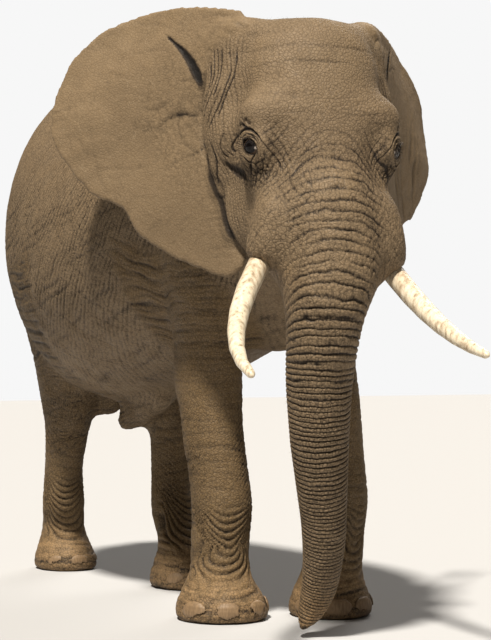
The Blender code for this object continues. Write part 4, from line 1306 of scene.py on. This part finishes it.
def skin_paint():
    """Dusty grey-brown hide, crackled, paler on ridges and browner on the ears, with painted shade in its
    creases and cracks and towards the bottom of the ears.
    """
    n = Nodes("skin")
    painted_shade, ear = n.mask("painted_shade"), n.mask("ear")
    legs = n.maths("ADD", n.mask("foreleg"), n.mask("hindleg"))
    height = n.add("SeparateXYZ", {"Vector": n.place}).outputs["Z"]
    patches = n.between(n.noise(0.09, 4.0), 0.35, 0.68)
    dust = n.times(n.between(height, 0.30, 0.10), n.between(n.noise(0.05), 0.30, 0.50))
    worn = n.times(ear, n.between(n.noise(0.20, 4.0, 0.6), 0.45, 0.70))
    freckles = n.between(n.noise(0.022, 3.0, 0.65), 0.60, 0.72)
    freckles = n.times(freckles, n.between(n.noise(0.15), 0.45, 0.60))
    scratch = {"Vector": n.bent(0.05, 0.06), "Scale": 9.0}
    scratch = n.add("TexVoronoi", scratch, feature="DISTANCE_TO_EDGE").outputs["Distance"]
    scratch = n.between(scratch, 0.0, 0.018, 1.0, 0.0)
    scratch = n.times(scratch, n.between(n.noise(0.12), 0.48, 0.60))
    # Painted shade: the ears are darkened towards their bottom.
    painted_shade_low_ear = n.times(ear, n.between(height, 2.30, 1.80))
    speck = n.between(n.noise(0.006, 2.0), 0.35, 0.75)
    hide = n.between(n.noise(0.55), 0.35, 0.65)
    hide = n.blend(hide, colour(0.215, 0.148, 0.082), colour(0.178, 0.121, 0.066))
    for share, tone in (
        (n.times(patches, 0.45), (0.150, 0.106, 0.062)),
        (n.times(ear, 0.6), (0.222, 0.152, 0.081)),
        (n.times(legs, 0.90), (0.128, 0.077, 0.027)),
        (n.times(dust, 0.85), (0.345, 0.215, 0.100)),
        (n.times(worn, 0.65), (0.165, 0.112, 0.060)),
        (n.times(freckles, n.times(ear, 0.5)), (0.085, 0.058, 0.032)),
        (n.times(scratch, n.times(ear, 0.6)), (0.330, 0.245, 0.150)),
        (n.times(painted_shade_low_ear, 0.75), (0.130, 0.087, 0.045)),
        (n.times(speck, 0.45), (0.275, 0.205, 0.130)),
    ):
        hide = n.blend(share, hide, colour(*tone))
    cells = n.crackle(0.015)
    # Painted shade: the hide is darkened along the crackle's lines, less on the ears, and in every
    # crease.
    lines = n.times(n.between(cells, 0.0, 0.13, 1.0, 0.0), n.between(ear, 0, 1, 1, 0.5))
    shade = n.between(n.maths("ADD", painted_shade, n.times(lines, 0.36)), 0.04, 1.0)
    hide = n.blend(shade, hide, colour(0.021, 0.0125, 0.006))
    # Painted shadow: the deepest creases, such as the slit at an ear's root, are made near black.
    hide = n.blend(n.between(painted_shade, 1.3, 2.2), hide, colour(0.006, 0.004, 0.003))
    n.finish(hide, n.between(patches, 0.0, 1.0, 0.62, 0.84))
    n.shader.inputs["Specular IOR Level"].default_value = 0.35
    soft = n.bump(n.noise(0.008, 3.0), 0.0016, Strength=0.7)
    gentler = n.between(ear, 0.0, 1.0, 0.9, 0.5)
    crackle = n.bump(n.between(cells, 0.0, 0.22), 0.0016, Normal=soft, Strength=gentler)
    n.feed(crackle, n.shader.inputs["Normal"])
    return n.material


# ---------------------------------------------------------------- hairs


STRAND_RINGS = 6
STRAND_SIDES = 3
ROOT_DEPTH = 0.002  # how far each hair starts under the skin
PATCH = 0.003  # how wide a hair's patch is on the unwrap
BODY_AXIS_HEIGHT = 1.55
TAIL_HAIRS = 420
TAIL_ROOTS = 0.16  # how far above the tuft its hairs are rooted
UPPER_LASHES, LOWER_LASHES = 44, 16
LASH_RADIUS = 0.0007
RANDOM = np.random.default_rng(11)


def body_unwrap(points):
    """Places on an unwrap of the skin: along the body, and round its long axis."""
    low, high = (np.array(corner) for corner in cad_bounds)
    along = (points[:, 1] - low[1]) / (high[1] - low[1])
    turn = np.arctan2(points[:, 0], points[:, 2] - BODY_AXIS_HEIGHT) / (2 * np.pi) + 0.5
    return 0.02 + 0.95 * np.clip(np.column_stack([along, turn]), 0, 1)


def strands(name, starts, bends, ends, radius, look, *replaced):
    """Tapered solid hairs, each bent from its root towards its tip, in one mesh."""
    share = np.linspace(0, 1, STRAND_RINGS)[None, :, None]
    bow = (1 - share) ** 2 * starts[:, None] + 2 * share * (1 - share) * bends[:, None]
    centre = bow + share**2 * ends[:, None]
    way = np.gradient(centre, axis=1)
    way /= np.linalg.norm(way, axis=2)[..., None]
    side = np.cross(way, (0.31, 0.93, 0.17))
    side /= np.linalg.norm(side, axis=2)[..., None]
    other = np.cross(way, side)
    size = radius[:, None, None] * (1 - 0.8 * share)
    angles = np.arange(STRAND_SIDES) * 2 * np.pi / STRAND_SIDES
    corners = [centre + size * (np.cos(a) * side + np.sin(a) * other) for a in angles]
    corners = np.stack(corners, axis=2).reshape(-1, 3)
    one = []
    for ring in range(STRAND_RINGS - 1):
        for k in range(STRAND_SIDES):
            near, far = ring * STRAND_SIDES, (ring + 1) * STRAND_SIDES
            after = (k + 1) % STRAND_SIDES
            one.append((near + k, near + after, far + after, far + k))
    last = (STRAND_RINGS - 1) * STRAND_SIDES
    caps = [tuple(reversed(range(STRAND_SIDES))), tuple(range(last, last + STRAND_SIDES))]
    each = STRAND_RINGS * STRAND_SIDES
    faces = [tuple(each * i + v for v in face) for i in range(len(starts)) for face in one + caps]
    mesh = bpy.data.meshes.new(name)
    mesh.from_pydata(corners.tolist(), [], faces)
    spot = np.indices((STRAND_SIDES, STRAND_RINGS)).reshape(2, STRAND_SIDES, STRAND_RINGS)
    spot = spot.transpose(2, 1, 0).reshape(-1, 2) / (STRAND_SIDES, STRAND_RINGS)
    places = (body_unwrap(starts)[:, None] + PATCH * spot[None]).reshape(-1, 2)
    loops = np.empty(len(mesh.loops), np.int32)
    mesh.loops.foreach_get("vertex_index", loops)
    mesh.uv_layers.new(name="OFBake").data.foreach_set("uv", places[loops].ravel())
    finished(name, mesh, look, "bristle", *replaced)


def bristle_paint():
    n = Nodes("bristle")
    tone = n.between(n.noise(0.02, 2.0), 0.35, 0.65)
    body = n.blend(tone, colour(0.020, 0.014, 0.010), colour(0.055, 0.038, 0.024))
    n.finish(body, n.between(tone, 0.0, 1.0, 0.40, 0.55))
    return n.material


def bristles(skin_mesh, name, chosen, count, shortest, longest, radius, look):
    """Sparse hairs on the chosen part of the skin, leaning back and down."""
    points, normals = points_of(skin_mesh), normals_of(skin_mesh)
    picked = RANDOM.choice(np.flatnonzero(chosen), count, replace=False)
    roots, ways = points[picked], normals[picked]
    length = RANDOM.uniform(shortest, longest, count)[:, None]
    lean = RANDOM.normal(0, 0.35, (count, 3)) + (0.0, 0.25, -0.30)
    bends = roots + ways * 0.5 * length
    ends = roots + (ways + lean) * length
    strands(name, roots - ROOT_DEPTH * ways, bends, ends, np.full(count, radius), look)


def tail_brush(skin_mesh, look):
    """The wiry hairs of the tail's tip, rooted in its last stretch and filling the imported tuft."""
    points, normals = points_of(skin_mesh), normals_of(skin_mesh)
    low, high = (np.array(corner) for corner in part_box("tail_tuft"))
    on_tail = (read_mask(skin_mesh, "tail") > 0.6) & (points[:, 2] < high[2] + TAIL_ROOTS)
    picked = RANDOM.choice(np.flatnonzero(on_tail), TAIL_HAIRS)
    roots, ways = points[picked], normals[picked]
    corners = points_of(nodes["tail_tuft"].data)
    corner = corners[RANDOM.integers(0, len(corners), TAIL_HAIRS)]
    core = (low + high) / 2 * (1, 1, 0) + corner * (0, 0, 1)
    drop = RANDOM.uniform(0.0, 1.0, (TAIL_HAIRS, 1)) ** 0.5
    ends = core + (corner - core) * RANDOM.uniform(0.2, 1.0, (TAIL_HAIRS, 1))
    ends[:, 2] = high[2] + (low[2] - high[2]) * (0.35 + 0.65 * drop[:, 0])
    bends = roots + ways * 0.015
    bends[:, 2] = roots[:, 2] + 0.45 * (ends[:, 2] - roots[:, 2])
    bends[:, :2] += 0.3 * (ends - bends)[:, :2]
    sizes = RANDOM.uniform(0.0009, 0.0014, TAIL_HAIRS)
    strands("tail_brush", roots - ROOT_DEPTH * ways, bends, ends, sizes, look, "tail_tuft")


def lashes(side, look):
    """Long stiff lashes along both rims of an eye's opening."""
    out, inner, up = eye_axes(side)
    upper = np.linspace(0.08, 0.92, UPPER_LASHES) * np.pi
    turn = np.concatenate([upper, -np.linspace(0.2, 0.8, LOWER_LASHES) * np.pi])
    count = len(turn)
    long = LID_WIDTH * np.cos(turn)
    lean = np.where(turn > 0, LID_UPPER, LID_LOWER) * np.sin(turn)
    inward = np.cos(LID_LEAN) * long + np.sin(LID_LEAN) * lean
    upward = np.cos(LID_LEAN) * lean - np.sin(LID_LEAN) * long
    shell = BALL_RADIUS + LID_THICK - 0.001
    height = np.sqrt(shell**2 - inward**2 - upward**2)
    flat = inward[:, None] * inner + upward[:, None] * up
    starts = ball_centre(side) + flat + height[:, None] * out
    away = flat / lengths_of(flat)[:, None]
    length = np.where(turn > 0, 0.042, 0.022)[:, None] * RANDOM.uniform(0.75, 1.15, (count, 1))
    bends = starts + length * (0.55 * out + 0.25 * away)
    stray = RANDOM.normal(0, 0.08, (count, 3))
    ends = starts + length * (0.75 * out + 0.35 * away - 0.55 * UP + stray)
    strands("lashes_" + side, starts, bends, ends, np.full(count, LASH_RADIUS), look)


def hairs(skin_mesh):
    """The tail's brush, the lashes, and the sparse bristles of the crown, chin, back and trunk."""
    look = bristle_paint()
    tail_brush(skin_mesh, look)
    for side in EYE:
        lashes(side, look)
    points, facing_up = points_of(skin_mesh), normals_of(skin_mesh)[:, 2]
    height, ahead = points[:, 2], place_of(points)[1]
    head, ear, trunk = (read_mask(skin_mesh, part) for part in ("head", "ear", "trunk"))
    crown = (head > 0.6) & (facing_up > 0.45) & (height > 2.45)
    chin = (head > 0.4) & (height < 1.80) & (ahead < 0.05) & (facing_up < 0)
    back = (facing_up > 0.6) & (height > 2.1) & (head < 0.3) & (ear < 0.1)
    for name, chosen, count, shortest, longest, radius in (
        ("crown_bristles", crown, 260, 0.006, 0.014, 0.0003),
        ("chin_bristles", chin, 240, 0.015, 0.035, 0.0005),
        ("back_bristles", back, 600, 0.008, 0.022, 0.0004),
        ("trunk_bristles", trunk > 0.8, 420, 0.006, 0.014, 0.0004),
    ):
        bristles(skin_mesh, name, chosen, count, shortest, longest, radius, look)


# ---------------------------------------------------------------- stage


RIGHT_OF_VIEW = Vector((0.861, -0.509, 0.0))
INTO_VIEW = Vector((0.509, 0.861, 0.0))
UP_VIEW = Vector((0.0, 0.0, 1.0))
# The camera was fitted to the photograph, so its lens, shift and place follow from that picture.
CAMERA_LENS = 95.06  # millimetres, on a sensor this wide
CAMERA_SENSOR = 36.0
CAMERA_SHIFT = 40 / 640
CAMERA_LEFT = 0.1461  # metres beside and before the spot between the forefeet, and up
CAMERA_BACK = 8.0441
CAMERA_HEIGHT = 1.2194

SURROUNDINGS = (1.0, 0.90, 0.76, 1)
BACKDROP = (0.93, 0.93, 0.93, 1)
FLOOR = (0.47, 0.475, 0.49, 1)
FLOOR_HALF = 40

# (name, strength, angle, colour, its place as into the view, right of it and up) of each light.
SUNS = (
    ("key", 6.3, 0.10, (1.0, 0.93, 0.82), (-0.50, -0.16, 0.90)),
    ("rim", 1.0, 0.5, (1.0, 0.95, 0.88), (0.8, 0.3, 0.7)),
)


def place_camera():
    stand = Vector((middle("foreleg_right_foot") + middle("foreleg_left_foot")) / 2)
    data = bpy.data.cameras.new("camera")
    data.lens = CAMERA_LENS
    data.sensor_width = CAMERA_SENSOR
    data.shift_y = CAMERA_SHIFT
    camera = helper("camera", data)
    spot = stand - CAMERA_LEFT * RIGHT_OF_VIEW - CAMERA_BACK * INTO_VIEW
    spot.z = CAMERA_HEIGHT
    camera.location = spot
    turn = Matrix((RIGHT_OF_VIEW.normalized(), UP_VIEW, -INTO_VIEW.normalized())).transposed()
    camera.rotation_euler = turn.to_euler()
    bpy.context.scene.camera = camera


def surroundings():
    """A warm soft light from all round, behind which the camera sees a plain pale backdrop."""
    world = bpy.data.worlds.new("studio")
    bpy.context.scene.world = world
    world.use_nodes = True
    back = world.node_tree.nodes["Background"]
    back.inputs["Color"].default_value = SURROUNDINGS
    back.inputs["Strength"].default_value = 0.10
    seen = world.node_tree.nodes.new("ShaderNodeBackground")
    seen.inputs["Color"].default_value = BACKDROP
    path = world.node_tree.nodes.new("ShaderNodeLightPath")
    either = world.node_tree.nodes.new("ShaderNodeMixShader")
    links = world.node_tree.links
    links.new(path.outputs["Is Camera Ray"], either.inputs["Fac"])
    links.new(back.outputs["Background"], either.inputs[1])
    links.new(seen.outputs["Background"], either.inputs[2])
    links.new(either.outputs["Shader"], world.node_tree.nodes["World Output"].inputs["Surface"])
    bpy.context.scene.view_settings.view_transform = "Standard"


def lights():
    for name, energy, angle, tint, (deep, right, high) in SUNS:
        sun = bpy.data.lights.new(name, "SUN")
        sun.energy, sun.angle, sun.color = energy, angle, tint
        lamp = helper(name, sun)
        toward = INTO_VIEW * deep + RIGHT_OF_VIEW * right + UP_VIEW * high
        lamp.rotation_euler = toward.to_track_quat("Z", "Y").to_euler()


def floor():
    work = bmesh.new()
    bmesh.ops.create_grid(work, x_segments=1, y_segments=1, size=FLOOR_HALF)
    mesh = built("floor", work)
    made = helper("floor", mesh)
    look = bpy.data.materials.new("floor")
    look.use_nodes = True
    shader = look.node_tree.nodes["Principled BSDF"]
    shader.inputs["Base Color"].default_value = FLOOR
    shader.inputs["Roughness"].default_value = 0.9
    mesh.materials.append(look)
    made.location.z = -0.001


# ---------------------------------------------------------------- the model


whole_skin = detailed_skin()
for side in EYE:
    eyeball(side)
finished("skin", whole_skin, skin_paint(), "skin", *FLESH, *EARS)
hairs(whole_skin)
for side in EYE:
    tusk(side)
horn = horn_paint()
for name in sorted(nodes):
    if name.startswith("nail_"):
        nail(name, horn)
place_camera()
surroundings()
lights()
floor()
